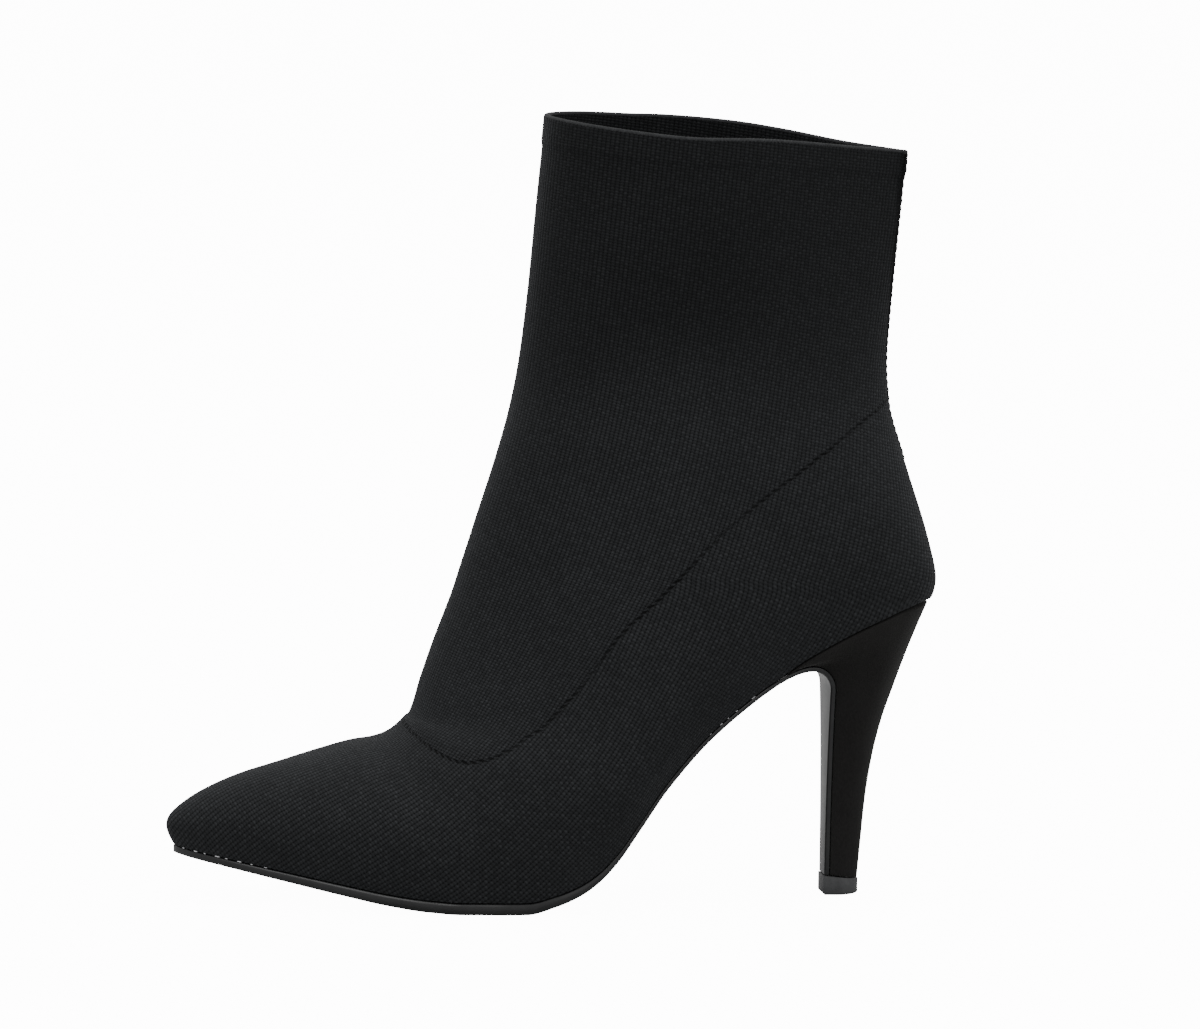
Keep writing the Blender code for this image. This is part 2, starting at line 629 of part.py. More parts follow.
def main():
    """Clears the scene and builds the boot."""
    for thing in list(bpy.data.objects):
        bpy.data.objects.remove(thing)
    boot = bpy.data.collections.new("sock_boot")
    bpy.context.scene.collection.children.link(boot)
    dress(make_upper(boot), "knit", (0.012, 0.012, 0.013), 0.85)
    dress(make_insole(boot), "lining", (0.020, 0.019, 0.018), 0.75)
    dress(make_outsole(boot), "sole_leather", (0.030, 0.030, 0.031), 0.35)
    dress(make_heel(boot), "heel_cover", (0.010, 0.010, 0.010), 0.80)
    dress(make_top_lift(boot), "rubber", (0.035, 0.035, 0.036), 0.55)


main()
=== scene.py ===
"""Looks of a knit sock boot with a pointed toe and a thin covered heel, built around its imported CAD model.

The toe points to -X, the heel is at +X, the outer side is -Y and +Z is up, as in the CAD part. Lengths are
metres. The tables repeat the part's own shares of its named sizes, so each piece stands where its solid does.
"""

import logging
import math
from dataclasses import dataclass, field
from enum import Enum
from typing import ClassVar, Iterable, NamedTuple, Sequence

import bpy
import numpy as np
from mathutils import Matrix, Vector

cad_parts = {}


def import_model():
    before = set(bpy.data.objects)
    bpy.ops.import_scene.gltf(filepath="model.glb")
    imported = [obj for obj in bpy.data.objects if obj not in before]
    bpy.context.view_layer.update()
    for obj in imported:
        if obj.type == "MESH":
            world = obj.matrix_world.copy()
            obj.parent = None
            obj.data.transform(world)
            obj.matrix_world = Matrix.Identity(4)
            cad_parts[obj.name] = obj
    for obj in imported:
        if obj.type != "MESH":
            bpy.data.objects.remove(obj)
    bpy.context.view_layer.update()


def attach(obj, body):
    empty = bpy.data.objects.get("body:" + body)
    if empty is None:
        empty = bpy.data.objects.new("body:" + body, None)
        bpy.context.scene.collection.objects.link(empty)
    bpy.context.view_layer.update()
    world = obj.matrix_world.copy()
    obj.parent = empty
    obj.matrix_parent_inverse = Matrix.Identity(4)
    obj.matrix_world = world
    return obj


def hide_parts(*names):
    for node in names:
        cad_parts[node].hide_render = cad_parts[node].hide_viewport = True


LOG = logging.getLogger("sock_boot")
BODY = "root"
MM = 0.001


class Foot(NamedTuple):
    """One place on the foot line, with the sole's outline."""

    along: float
    spring: float
    rise: float
    tread: float
    depth: float
    centre: float
    half: float
    tuck: float


class Section(NamedTuple):
    """One section of the upper, from its front point over the foot to its low point."""

    front: float
    instep: float
    climb: float
    low: float
    back: float
    lateral: float
    medial: float
    girth: float
    ridge: float
    widest: float
    top: float
    under: float
    bow: float
    steps: int


class Ring(NamedTuple):
    """One ring of the heel, from its place on the breast to its back."""

    front: float
    height: float
    reach: float
    half: float
    widest: float


class Flap(NamedTuple):
    """Half width of the breast flap at a share of its way."""

    along: float
    half: float


class Guide(NamedTuple):
    """How the knit lies at a place in the side view: X, Z, the wales' tilt, and the stitch's width and length."""

    x: float
    z: float
    tilt: float
    wale: float
    course: float


class SeamPoint(NamedTuple):
    """A point on the panel seam of the outer side, in millimetres."""

    x: float
    y: float
    z: float


class Sag(NamedTuple):
    """How far the collar's rim moves up at an X, on each side, in millimetres."""

    x: float
    lateral: float
    medial: float


class Speck(NamedTuple):
    """A speck of dried glue on the feather line: its place along the sole, its length and its height."""

    along: float
    length: float
    height: float


class Side(Enum):
    """Sides of the foot, as signs of Y."""

    LATERAL = -1
    MEDIAL = 1


class Panel(Enum):
    """Knit panels of the upper, by the name of the map their stitches follow."""

    SHAFT = "shaft_knit"
    FOOT = "foot_knit"


FOOT_LINE = (
    Foot(0.0086, 1.000, 0.000, 0.60, 0.60, 0.052, 0.000, 0.00),
    Foot(0.0240, 0.950, 0.000, 0.62, 0.62, 0.047, 0.078, 0.00),
    Foot(0.0660, 0.830, 0.000, 0.68, 0.68, 0.034, 0.166, 0.00),
    Foot(0.1440, 0.575, 0.000, 0.80, 0.80, 0.026, 0.272, 0.00),
    Foot(0.2100, 0.350, 0.000, 0.90, 0.90, 0.025, 0.349, 0.00),
    Foot(0.2750, 0.140, 0.000, 0.97, 0.97, 0.027, 0.414, 0.00),
    Foot(0.3250, 0.035, 0.000, 1.00, 1.00, 0.027, 0.453, 0.00),
    Foot(0.3650, 0.000, 0.000, 1.00, 1.00, 0.020, 0.470, 0.00),
    Foot(0.4100, 0.000, 0.000, 1.00, 1.00, 0.004, 0.469, 0.00),
    Foot(0.4480, 0.000, 0.000, 1.00, 1.00, -0.016, 0.449, 0.02),
    Foot(0.4850, 0.000, 0.022, 0.95, 0.95, -0.034, 0.416, 0.06),
    Foot(0.5180, 0.000, 0.054, 0.86, 0.88, -0.046, 0.377, 0.12),
    Foot(0.5450, 0.000, 0.098, 0.77, 0.82, -0.053, 0.344, 0.17),
    Foot(0.5730, 0.000, 0.171, 0.66, 0.76, -0.057, 0.312, 0.22),
    Foot(0.6000, 0.000, 0.265, 0.55, 0.70, -0.056, 0.283, 0.27),
    Foot(0.6400, 0.000, 0.406, 0.42, 0.66, -0.050, 0.247, 0.33),
    Foot(0.7000, 0.000, 0.573, 0.25, 0.58, -0.034, 0.219, 0.38),
    Foot(0.7600, 0.000, 0.704, 0.10, 0.52, -0.019, 0.221, 0.37),
    Foot(0.7900, 0.000, 0.760, 0.03, 0.50, -0.013, 0.231, 0.34),
    Foot(0.8120, 0.000, 0.803, 0.00, 0.50, -0.009, 0.241, 0.30),
    Foot(0.8620, 0.000, 0.880, 0.00, 0.50, -0.003, 0.265, 0.20),
    Foot(0.9130, 0.000, 0.944, 0.00, 0.50, 0.000, 0.269, 0.11),
    Foot(0.9500, 0.000, 0.981, 0.00, 0.50, 0.000, 0.231, 0.06),
    Foot(0.9750, 0.000, 0.996, 0.00, 0.50, 0.000, 0.163, 0.04),
    Foot(0.9914, 0.000, 1.000, 0.00, 0.50, 0.000, 0.000, 0.04),
)

SECTIONS = (
    Section(0.0176, 0.256, 0.000, 0.0086, 0.000, 0.000, 0.000, 0.000, 0.052, 0.58, 1.00, 1.00, -0.066, 4),
    Section(0.0330, 0.318, 0.000, 0.0240, 0.000, 0.094, 0.094, 0.000, 0.048, 0.60, 0.98, 1.00, -0.040, 2),
    Section(0.0570, 0.396, 0.000, 0.0540, 0.000, 0.164, 0.164, 0.000, 0.040, 0.62, 0.97, 1.00, -0.014, 2),
    Section(0.0930, 0.494, 0.000, 0.0970, 0.000, 0.236, 0.234, 0.000, 0.036, 0.66, 0.97, 1.00, 0.000, 3),
    Section(0.1490, 0.618, 0.000, 0.1740, 0.000, 0.342, 0.340, 0.000, 0.036, 0.70, 0.97, 1.00, 0.000, 3),
    Section(0.2010, 0.734, 0.000, 0.2680, 0.000, 0.442, 0.438, 0.000, 0.038, 0.72, 0.98, 1.00, 0.000, 3),
    Section(0.2410, 0.818, 0.000, 0.3750, 0.000, 0.505, 0.495, 0.000, 0.038, 0.72, 0.98, 1.00, 0.000, 3),
    Section(0.2680, 0.864, 0.000, 0.4740, 0.000, 0.500, 0.456, 0.000, 0.034, 0.69, 1.00, 1.00, 0.000, 2),
    Section(0.2900, 0.920, 0.000, 0.5640, 0.000, 0.466, 0.404, 0.000, 0.028, 0.62, 1.02, 0.98, 0.000, 3),
    Section(0.3100, 1.016, 0.000, 0.6560, 0.000, 0.410, 0.350, 0.040, 0.020, 0.62, 1.04, 0.94, 0.020, 3),
    Section(0.3260, 1.000, 0.066, 0.7500, 0.000, 0.341, 0.296, 0.100, 0.012, 0.62, 1.04, 0.86, 0.050, 3),
    Section(0.3425, 1.000, 0.130, 0.8470, 0.000, 0.256, 0.229, 0.200, 0.006, 0.61, 1.02, 0.76, 0.080, 2),
    Section(0.3570, 1.000, 0.180, 0.9130, 0.000, 0.178, 0.163, 0.300, 0.002, 0.585, 1.00, 0.65, 0.100, 2),
    Section(0.3670, 1.000, 0.215, 0.9560, 0.000, 0.141, 0.128, 0.350, 0.000, 0.56, 0.98, 0.58, 0.104, 4),
    Section(0.3750, 1.000, 0.248, 0.9914, 0.000, 0.120, 0.109, 0.380, 0.000, 0.54, 0.97, 0.60, 0.104, 3),
    Section(0.3850, 1.000, 0.288, 1.0000, 0.050, 0.089, 0.081, 0.420, 0.000, 0.52, 0.96, 0.60, 0.096, 2),
    Section(0.3990, 1.000, 0.345, 0.9880, 0.146, 0.046, 0.040, 0.480, 0.000, 0.51, 0.95, 0.69, 0.072, 2),
    Section(0.4205, 1.000, 0.432, 0.9600, 0.300, 0.002, 0.000, 0.538, 0.000, 0.48, 0.94, 0.96, 0.040, 2),
    Section(0.4380, 1.000, 0.515, 0.9360, 0.440, 0.000, 0.000, 0.530, 0.000, 0.45, 0.93, 1.15, 0.014, 2),
    Section(0.4490, 1.000, 0.590, 0.9320, 0.535, 0.000, 0.000, 0.522, 0.000, 0.43, 0.93, 1.30, 0.004, 3),
    Section(0.4600, 1.000, 0.710, 0.9370, 0.680, 0.000, 0.000, 0.514, 0.000, 0.40, 0.92, 1.55, 0.006, 3),
    Section(0.4700, 1.000, 0.860, 0.9450, 0.840, 0.000, 0.000, 0.506, 0.000, 0.37, 0.91, 1.85, 0.016, 3),
    Section(0.4800, 1.000, 1.000, 0.9530, 1.000, 0.000, 0.000, 0.502, 0.000, 0.35, 0.90, 2.10, 0.026, 0),
)

GLUE_SPECKS = (
    Speck(0.0190, 0.9, 0.28),
    Speck(0.0330, 1.4, 0.36),
    Speck(0.0440, 0.8, 0.30),
    Speck(0.0590, 1.8, 0.34),
    Speck(0.0700, 0.9, 0.26),
    Speck(0.0860, 1.5, 0.30),
    Speck(0.1010, 0.7, 0.22),
    Speck(0.1180, 1.1, 0.20),
    Speck(0.6950, 0.7, 0.22),
    Speck(0.7090, 1.0, 0.30),
    Speck(0.7180, 0.6, 0.26),
    Speck(0.7290, 0.8, 0.28),
    Speck(0.7510, 1.6, 0.24),
)

HEEL_RINGS = (
    Ring(0.08, 0.985, 0.922, 0.288, 0.64),
    Ring(0.13, 0.930, 0.860, 0.266, 0.62),
    Ring(0.20, 0.860, 0.768, 0.232, 0.58),
    Ring(0.28, 0.775, 0.668, 0.198, 0.54),
    Ring(0.36, 0.680, 0.566, 0.165, 0.50),
    Ring(0.46, 0.570, 0.452, 0.134, 0.46),
    Ring(0.58, 0.440, 0.355, 0.107, 0.44),
    Ring(0.72, 0.290, 0.284, 0.086, 0.42),
    Ring(0.86, 0.140, 0.243, 0.073, 0.42),
    Ring(1.00, 0.000, 0.207, 0.067, 0.42),
)

FLAP_WIDTH = (
    Flap(0.00, 0.224),
    Flap(0.10, 0.206),
    Flap(0.20, 0.168),
    Flap(0.30, 0.134),
    Flap(0.42, 0.108),
    Flap(0.58, 0.086),
    Flap(0.78, 0.070),
    Flap(1.00, 0.063),
)

# Insets and depths down the sole's edge: shares of the rounded shoulder, then of the cut, and of the thickness.
SHOULDER_PROFILE = ((1.0, 0.0), (0.42, 0.10), (0.12, 0.26), (0.0, 0.50))
EDGE_PROFILE = ((0.14, 0.76), (1.0, 1.0))

# The wales' tilt is in degrees from the floor, rising to the heel. Places and stitches are millimetres.
SHAFT_GUIDES = tuple(
    Guide(*row)
    for row in (
        (-85, 226, 84, 1.40, 0.86), (-41, 226, 84, 1.43, 0.90), (-20, 226, 85, 1.43, 0.93),
        (-85, 188, 82, 1.39, 0.89), (-41, 188, 81, 1.41, 0.91), (2, 203, 81, 1.38, 0.94),
        (-85, 153, 81, 1.40, 0.90), (-41, 153, 81, 1.37, 0.93), (-15, 158, 79, 1.39, 0.95),
        (-85, 133, 75, 1.38, 0.90), (-63, 133, 73, 1.36, 0.92), (-85, 114, 69, 1.35, 0.92),
        (-63, 114, 66, 1.30, 0.93), (-106, 96, 70, 1.31, 0.88), (-85, 96, 66, 1.25, 0.92),
        (-106, 78, 64, 1.20, 0.90), (-122, 62, 60, 1.20, 0.90),
    )
)
FOOT_GUIDES = tuple(
    Guide(*row)
    for row in (
        (2, 133, 80, 1.33, 0.96), (-20, 133, 75, 1.40, 0.95), (-41, 114, 72, 1.40, 0.95),
        (-20, 114, 72, 1.41, 0.96), (2, 114, 73, 1.32, 1.03), (-63, 96, 66, 1.39, 0.94), (-41, 96, 67, 1.41, 0.96),
        (2, 96, 65, 1.30, 1.05), (-85, 78, 63, 1.20, 0.92), (-52, 78, 65, 1.37, 0.96), (-106, 59, 57, 1.15, 0.93),
        (-75, 53, 62, 1.38, 0.96), (-127, 41, 36, 1.15, 0.94), (-106, 41, 51, 1.27, 0.96),
        (-85, 22, 51, 1.39, 0.98), (-106, 22, 45, 1.39, 0.97), (-128, 22, 32, 1.28, 0.95),
        (-150, 24, 25, 1.32, 0.97), (-150, 11, 32, 1.55, 0.97), (-170, 25, 27, 1.42, 0.93),
        (-172, 12, 38, 1.65, 0.95), (-194, 16, 46, 1.62, 0.95), (-188, 36, 26, 1.35, 0.95),
        (-158, 43, 22, 1.25, 0.95), (-139, 52, 22, 1.20, 0.95),
    )
)

# How far the soft collar sags or stands up, in millimetres, on the outer and on the inner side.
COLLAR_SAG = (
    Sag(-94, -0.9, -0.9),
    Sag(-78, -1.8, -0.6),
    Sag(-66, -2.3, -0.5),
    Sag(-54, -2.5, 0.1),
    Sag(-44, -1.9, 0.4),
    Sag(-31, -0.9, 0.6),
    Sag(-18, -0.5, 0.3),
    Sag(0, -0.3, -0.4),
    Sag(16, 0.0, 0.0),
)

PANEL_SEAM = tuple(
    SeamPoint(*row)
    for row in (
        (-140.5, 8.0, 64.0), (-134.8, 0.6, 54.1), (-134.1, -7.5, 52.8), (-132.4, -13.4, 51.3),
        (-130.9, -17.5, 49.8), (-127.8, -22.2, 48.0), (-125.0, -25.7, 46.4), (-121.1, -28.6, 45.4),
        (-117.2, -30.5, 45.5), (-113.4, -31.4, 46.6), (-110.5, -32.0, 47.5), (-105.7, -32.0, 50.2),
        (-99.9, -31.6, 54.1), (-96.6, -31.4, 56.1), (-93.2, -31.0, 59.4), (-90.2, -30.5, 62.6),
        (-87.1, -30.1, 65.6), (-84.1, -29.7, 68.8), (-79.8, -28.8, 74.6), (-75.6, -28.3, 80.4),
        (-70.1, -27.9, 86.6), (-62.4, -28.2, 93.3), (-58.5, -28.2, 97.2), (-55.2, -28.2, 100.5),
        (-52.2, -28.2, 103.8), (-47.4, -28.1, 108.9), (-42.3, -28.1, 114.2), (-32.3, -27.6, 122.6),
        (-23.7, -26.4, 128.8), (-14.8, -24.0, 134.9), (-7.7, -21.0, 139.7), (-2.3, -17.8, 143.6),
        (3.7, -13.4, 147.3), (8.6, -8.3, 150.0), (12.2, 0.0, 152.0), (20.0, 8.0, 156.5),
    )
)


def slopes(places: np.ndarray, values: np.ndarray) -> np.ndarray:
    """Slope of a smooth curve at each of its places, level where the values turn.

    Args:
        places: The places of the values, in order.
        values: The values there.

    Returns:
        One slope for each place.
    """
    steps = np.diff(values) / np.diff(places)
    product = steps[:-1] * steps[1:]
    total = steps[:-1] + steps[1:]
    safe = np.where(product > 0, total, 1.0)
    inner = np.where(product > 0, 2 * product / safe, 0.0)
    return np.concatenate([steps[:1], inner, steps[-1:]])


def smooth(places: Sequence[float], values: Sequence[float], at: np.ndarray | float) -> np.ndarray:
    """Values of the smooth curve through some values, held level past its ends.

    Args:
        places: The places of the values, in order.
        values: The values there.
        at: Where the curve is read.

    Returns:
        The curve's values, in the shape of at.
    """
    xs = np.asarray(places, float)
    ys = np.asarray(values, float)
    at = np.clip(np.asarray(at, float), xs[0], xs[-1])
    index = np.clip(np.searchsorted(xs, at, side="right") - 1, 0, len(xs) - 2)
    tangents = slopes(xs, ys)
    width = xs[index + 1] - xs[index]
    t = (at - xs[index]) / width
    start = ys[index] * (1 + 2 * t) * (1 - t) ** 2 + width * tangents[index] * t * (1 - t) ** 2
    end = ys[index + 1] * t * t * (3 - 2 * t) - width * tangents[index + 1] * t * t * (1 - t)
    return start + end


def read(table: Sequence[NamedTuple], key: str, name: str, at: np.ndarray | float) -> np.ndarray:
    """Smooth values of one column of a table.

    Args:
        table: The rows of the table.
        key: The column that holds the places.
        name: The column that is read.
        at: The places to read it at.

    Returns:
        The column's values there.
    """
    return smooth([getattr(row, key) for row in table], [getattr(row, name) for row in table], at)


def read_round(table: Sequence[NamedTuple], key: str, name: str, at: np.ndarray | float) -> np.ndarray:
    """Smooth half widths that close to a round end, since it is their square that runs smoothly.

    Args:
        table: The rows of the table.
        key: The column that holds the places.
        name: The column of half widths.
        at: The places to read it at.

    Returns:
        The half widths there.
    """
    squares = [getattr(row, name) ** 2 for row in table]
    return np.sqrt(np.maximum(smooth([getattr(row, key) for row in table], squares, at), 0.0))


@dataclass(frozen=True)
class BootLast:
    """The last that the boot is made on: the named sizes and the foot line of the CAD part."""

    length: float = 0.2330
    heel_overhang: float = 0.0275
    ball_width: float = 0.0780
    instep_height: float = 0.0500
    heel_height: float = 0.0910
    shaft_height: float = 0.1354
    collar_rise: float = 0.0118
    collar_width: float = 0.0510
    toe_spring: float = 0.0140
    sole_thickness: float = 0.0035
    clearance: float = 0.0003
    throat: float = 0.3040
    roll_height: float = 0.0280

    @property
    def toe_x(self) -> float:
        """X of the toe's foremost point."""
        return self.heel_overhang - self.length

    def place_x(self, along: np.ndarray | float) -> np.ndarray | float:
        """X of a share of the length, counted from the toe."""
        return self.toe_x + along * self.length

    def along_of(self, x: np.ndarray | float) -> np.ndarray | float:
        """Share of the length at an X."""
        return (x - self.toe_x) / self.length

    def foot_height(self, along: np.ndarray | float) -> np.ndarray:
        """Height of the surface that carries the upper."""
        parts = {"spring": self.toe_spring, "rise": self.heel_height, "tread": self.sole_thickness}
        return sum(read(FOOT_LINE, "along", name, along) * size for name, size in parts.items())

    def sole_depth(self, along: np.ndarray | float) -> np.ndarray:
        """Depth of the sole under the foot line."""
        return read(FOOT_LINE, "along", "depth", along) * self.sole_thickness

    def foot_half(self, along: np.ndarray | float) -> np.ndarray:
        """Half width of the sole's outline."""
        return read_round(FOOT_LINE, "along", "half", along) * self.ball_width

    def foot_centre(self, along: np.ndarray | float) -> np.ndarray:
        """Sideways place of the outline's middle."""
        return read(FOOT_LINE, "along", "centre", along) * self.ball_width

    def tucked_in(self, along: np.ndarray, above: np.ndarray | float) -> np.ndarray:
        """Share by which the upper is drawn in, above the foot line by a height."""
        roll = np.clip(1 - np.asarray(above) / self.roll_height, 0.0, 1.0)
        return read(FOOT_LINE, "along", "tuck", along) * roll * roll

    def stations(self, first: float, last: float, steps: int) -> np.ndarray:
        """Shares of the length for an outline, close together where it closes.

        Args:
            first: The first share.
            last: The last share.
            steps: How many stations stand between two rows of the foot line.

        Returns:
            The shares in order.
        """
        keys = [first] + [row.along for row in FOOT_LINE if first < row.along < last] + [last]
        found = []
        for start, end in zip(keys, keys[1:]):
            share = np.arange(steps) / steps
            if start == FOOT_LINE[0].along:
                share = share**2
            elif end == FOOT_LINE[-1].along:
                share = 1 - (1 - share) ** 2
            found.append(start + (end - start) * share)
        return np.concatenate(found + [np.array([keys[-1]])])


class Workbench:
    """Mesh steps that every piece shares, done with Blender's own operators."""

    @staticmethod
    def deselect() -> None:
        """Leaves nothing selected and no object in edit mode."""
        if bpy.context.view_layer.objects.active and bpy.context.object.mode != "OBJECT":
            bpy.ops.object.mode_set(mode="OBJECT")
        bpy.ops.object.select_all(action="DESELECT")

    @classmethod
    def pick(cls, thing: bpy.types.Object) -> None:
        """Makes one object the only selected and the active one.

        Args:
            thing: The object.
        """
        cls.deselect()
        thing.select_set(True)
        bpy.context.view_layer.objects.active = thing

    @classmethod
    def draped_grid(cls, name: str, points: np.ndarray) -> bpy.types.Object:
        """Adds a grid and lays its points on a surface.

        Args:
            name: The new object's name.
            points: The surface's points, rows by columns by 3.

        Returns:
            The object, at the origin, with its place in its mesh.
        """
        rows, columns = points.shape[:2]
        cls.deselect()
        bpy.ops.mesh.primitive_grid_add(x_subdivisions=columns - 1, y_subdivisions=rows - 1, size=1.0)
        thing = bpy.context.object
        thing.name = name
        thing.data.name = name
        thing.data.vertices.foreach_set("co", points.reshape(-1))
        thing.data.update()
        return thing

    @classmethod
    def edit(cls, thing: bpy.types.Object, closed: bool = False, merge: float = 0.00002) -> None:
        """Merges an object's doubled points and turns its faces outwards.

        Args:
            thing: The object.
            closed: Whether its open ends are filled first.
            merge: Points nearer than this become one.
        """
        cls.pick(thing)
        bpy.ops.object.mode_set(mode="EDIT")
        bpy.ops.mesh.select_all(action="SELECT")
        bpy.ops.mesh.remove_doubles(threshold=merge)
        bpy.ops.mesh.dissolve_degenerate(threshold=merge / 2)
        if closed:
            bpy.ops.mesh.select_all(action="SELECT")
            bpy.ops.mesh.fill_holes(sides=0)
        bpy.ops.mesh.select_all(action="SELECT")
        bpy.ops.mesh.normals_make_consistent(inside=False)
        bpy.ops.object.mode_set(mode="OBJECT")

    @classmethod
    def apply(cls, thing: bpy.types.Object, kind: str, **values: object) -> None:
        """Adds one modifier and applies it.

        Args:
            thing: The object.
            kind: The modifier's type.
            **values: Its settings.
        """
        cls.pick(thing)
        modifier = thing.modifiers.new(kind.lower(), kind)
        for key, value in values.items():
            setattr(modifier, key, value)
        bpy.ops.object.modifier_apply(modifier=modifier.name)

    @classmethod
    def shade(cls, thing: bpy.types.Object, angle: float) -> None:
        """Shades an object smooth up to an angle in degrees."""
        cls.pick(thing)
        bpy.ops.object.shade_smooth_by_angle(angle=math.radians(angle))

    @staticmethod
    def finish(thing: bpy.types.Object, material: bpy.types.Material, node: str, slot: str) -> None:
        """Dresses a piece, lets it ride on the boot and hides the CAD node that it replaces.

        Args:
            thing: The piece.
            material: Its material.
            node: The CAD node that it replaces, or nothing.
            slot: Not used.
        """
        thing.data.materials.clear()
        thing.data.materials.append(material)
        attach(thing, BODY)
        if node:
            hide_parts(node)
        LOG.info("%s: %d faces", thing.name, len(thing.data.polygons))


def tube_rows(rows: Iterable[Sequence[tuple[float, float, float]]]) -> np.ndarray:
    """Rows of closed rings as a grid whose last column repeats the first."""
    found = np.array([list(row) for row in rows], float)
    return np.concatenate([found, found[:, :1]], axis=1)
def way_along(points: np.ndarray) -> np.ndarray:
    """Way along a line of points at each of them."""
    return np.concatenate([[0.0], np.cumsum(np.linalg.norm(np.diff(points, axis=0), axis=-1))])


def both_sides(spots: Sequence[tuple[float, float, float, float]]) -> list[tuple[float, float, float]]:
    """Closes a ring from the X, the middle, the half width and the Z of its places."""
    lateral = [(x, middle - half, z) for x, middle, half, z in spots]
    return lateral + [(x, middle + half, z) for x, middle, half, z in spots[::-1]]

class Shading:
    """A material's nodes, with short ways to add and join them."""

    def __init__(self, tree: bpy.types.NodeTree) -> None:
        """Keeps the tree that the nodes go to."""
        self.tree = tree

    def add(self, kind: str, **values: object) -> bpy.types.Node:
        """Adds a node.

        Args:
            kind: The node's type, without its ShaderNode prefix.
            **values: Its properties, and its inputs by name with underscores for blanks.

        Returns:
            The node.
        """
        node = self.tree.nodes.new("ShaderNode" + kind)
        for key, value in values.items():
            if hasattr(node, key):
                setattr(node, key, value)
            else:
                node.inputs[key.replace("_", " ")].default_value = value
        return node

    def join(self, start: bpy.types.NodeSocket, end: bpy.types.NodeSocket) -> None:
        """Links an output to an input."""
        self.tree.links.new(start, end)

    def maths(self, operation: str, *terms: bpy.types.NodeSocket | float) -> bpy.types.NodeSocket:
        """Adds a math node.

        Args:
            operation: Its operation.
            *terms: Sockets or plain numbers.

        Returns:
            Its output.
        """
        node = self.add("Math", operation=operation)
        for index, term in enumerate(terms):
            if isinstance(term, (int, float)):
                node.inputs[index].default_value = term
            else:
                self.join(term, node.inputs[index])
        return node.outputs[0]

    def mix(
        self, share: object, first: object, second: object, kind: str = "FLOAT", how: str = "MIX"
    ) -> bpy.types.NodeSocket:
        """Mixes two numbers or two colours.

        Args:
            share: How much of the second, as a number or a socket.
            first: A number, a colour or a socket.
            second: A number, a colour or a socket.
            kind: FLOAT for numbers, RGBA for colours.
            how: The way that colours blend.

        Returns:
            The mixed value.
        """
        node = self.add("Mix", data_type=kind, blend_type=how)
        low, out = (6, 2) if kind == "RGBA" else (2, 0)
        for socket, term in ((node.inputs[0], share), (node.inputs[low], first), (node.inputs[low + 1], second)):
            if isinstance(term, bpy.types.NodeSocket):
                self.join(term, socket)
            else:
                socket.default_value = (*term, 1.0) if isinstance(term, tuple) else float(term)
        return node.outputs[out]

    def blend(self, share: object, first: object, second: object, how: str = "MIX") -> bpy.types.NodeSocket:
        """Mixes two colours, as mix does two numbers."""
        return self.mix(share, first, second, "RGBA", how)

    def noise(self, place: bpy.types.NodeSocket, **values: object) -> bpy.types.NodeSocket:
        """Reads a noise texture.

        Args:
            place: Where it is read: a vector, or a number for a texture of one dimension.
            **values: The texture's values.

        Returns:
            The noise.
        """
        node = self.add("TexNoise", **values)
        self.join(place, node.inputs["W" if node.noise_dimensions == "1D" else "Vector"])
        return node.outputs[0]

    def ranged(
        self,
        value: bpy.types.NodeSocket,
        low: float,
        high: float,
        start: float = 0.0,
        end: float = 1.0,
        soft: bool = False,
    ) -> bpy.types.NodeSocket:
        """Maps a value from one range to another.

        Args:
            value: The value.
            low: Where the first range starts.
            high: Where it ends.
            start: Where the second range starts.
            end: Where it ends.
            soft: Whether the ends are eased.

        Returns:
            The mapped value.
        """
        kind = "SMOOTHSTEP" if soft else "LINEAR"
        node = self.add("MapRange", interpolation_type=kind, From_Min=low, From_Max=high, To_Min=start, To_Max=end)
        self.join(value, node.inputs["Value"])
        return node.outputs[0]


class Surface(Shading):
    """The nodes of a new material with one surface shader, read on Object coordinates."""

    def __init__(self, name: str, **values: object) -> None:
        """Starts the material.

        Args:
            name: Its name.
            **values: Its shader's inputs, by name with underscores for blanks.
        """
        self.made = bpy.data.materials.new(name)
        self.made.use_nodes = True
        super().__init__(self.made.node_tree)
        self.shader = self.tree.nodes["Principled BSDF"]
        for key, value in values.items():
            self.shader.inputs[key.replace("_", " ")].default_value = value
        self.place = self.add("TexCoord").outputs["Object"]

    def feed(self, **sockets: bpy.types.NodeSocket) -> None:
        """Joins sockets to the shader's inputs, by name with underscores for blanks."""
        for key, socket in sockets.items():
            self.join(socket, self.shader.inputs[key.replace("_", " ")])

    def bump(self, height: bpy.types.NodeSocket) -> None:
        """Raises the surface by a height in metres.

        Args:
            height: The height.
        """
        node = self.add("Bump", Strength=1.0, Distance=1.0)
        self.join(height, node.inputs["Height"])
        self.join(node.outputs[0], self.shader.inputs["Normal"])

def new_group(name: str, inputs: dict[str, tuple[str, object]], outputs: dict[str, str]) -> Shading:
    """Starts a node group with named sockets.

    Args:
        name: The group's name.
        inputs: For each input, its socket type and its value.
        outputs: For each output, its socket type.

    Returns:
        The group's nodes, with its two end nodes in place.
    """
    tree = bpy.data.node_groups.new(name, "ShaderNodeTree")
    for key, (kind, value) in inputs.items():
        socket = tree.interface.new_socket(key, in_out="INPUT", socket_type="NodeSocket" + kind)
        if value is not None:
            socket.default_value = value
    for key, kind in outputs.items():
        tree.interface.new_socket(key, in_out="OUTPUT", socket_type="NodeSocket" + kind)
    tree.nodes.new("NodeGroupInput")
    tree.nodes.new("NodeGroupOutput")
    return Shading(tree)


# Shares of the rib, of each bead and of every other bead in a stitch's height, and in its painted light and shade.
HEIGHT_SHARES = (0.58, 0.28, 0.07)
SHADE_SHARES = (0.49, 0.32, 0.09)


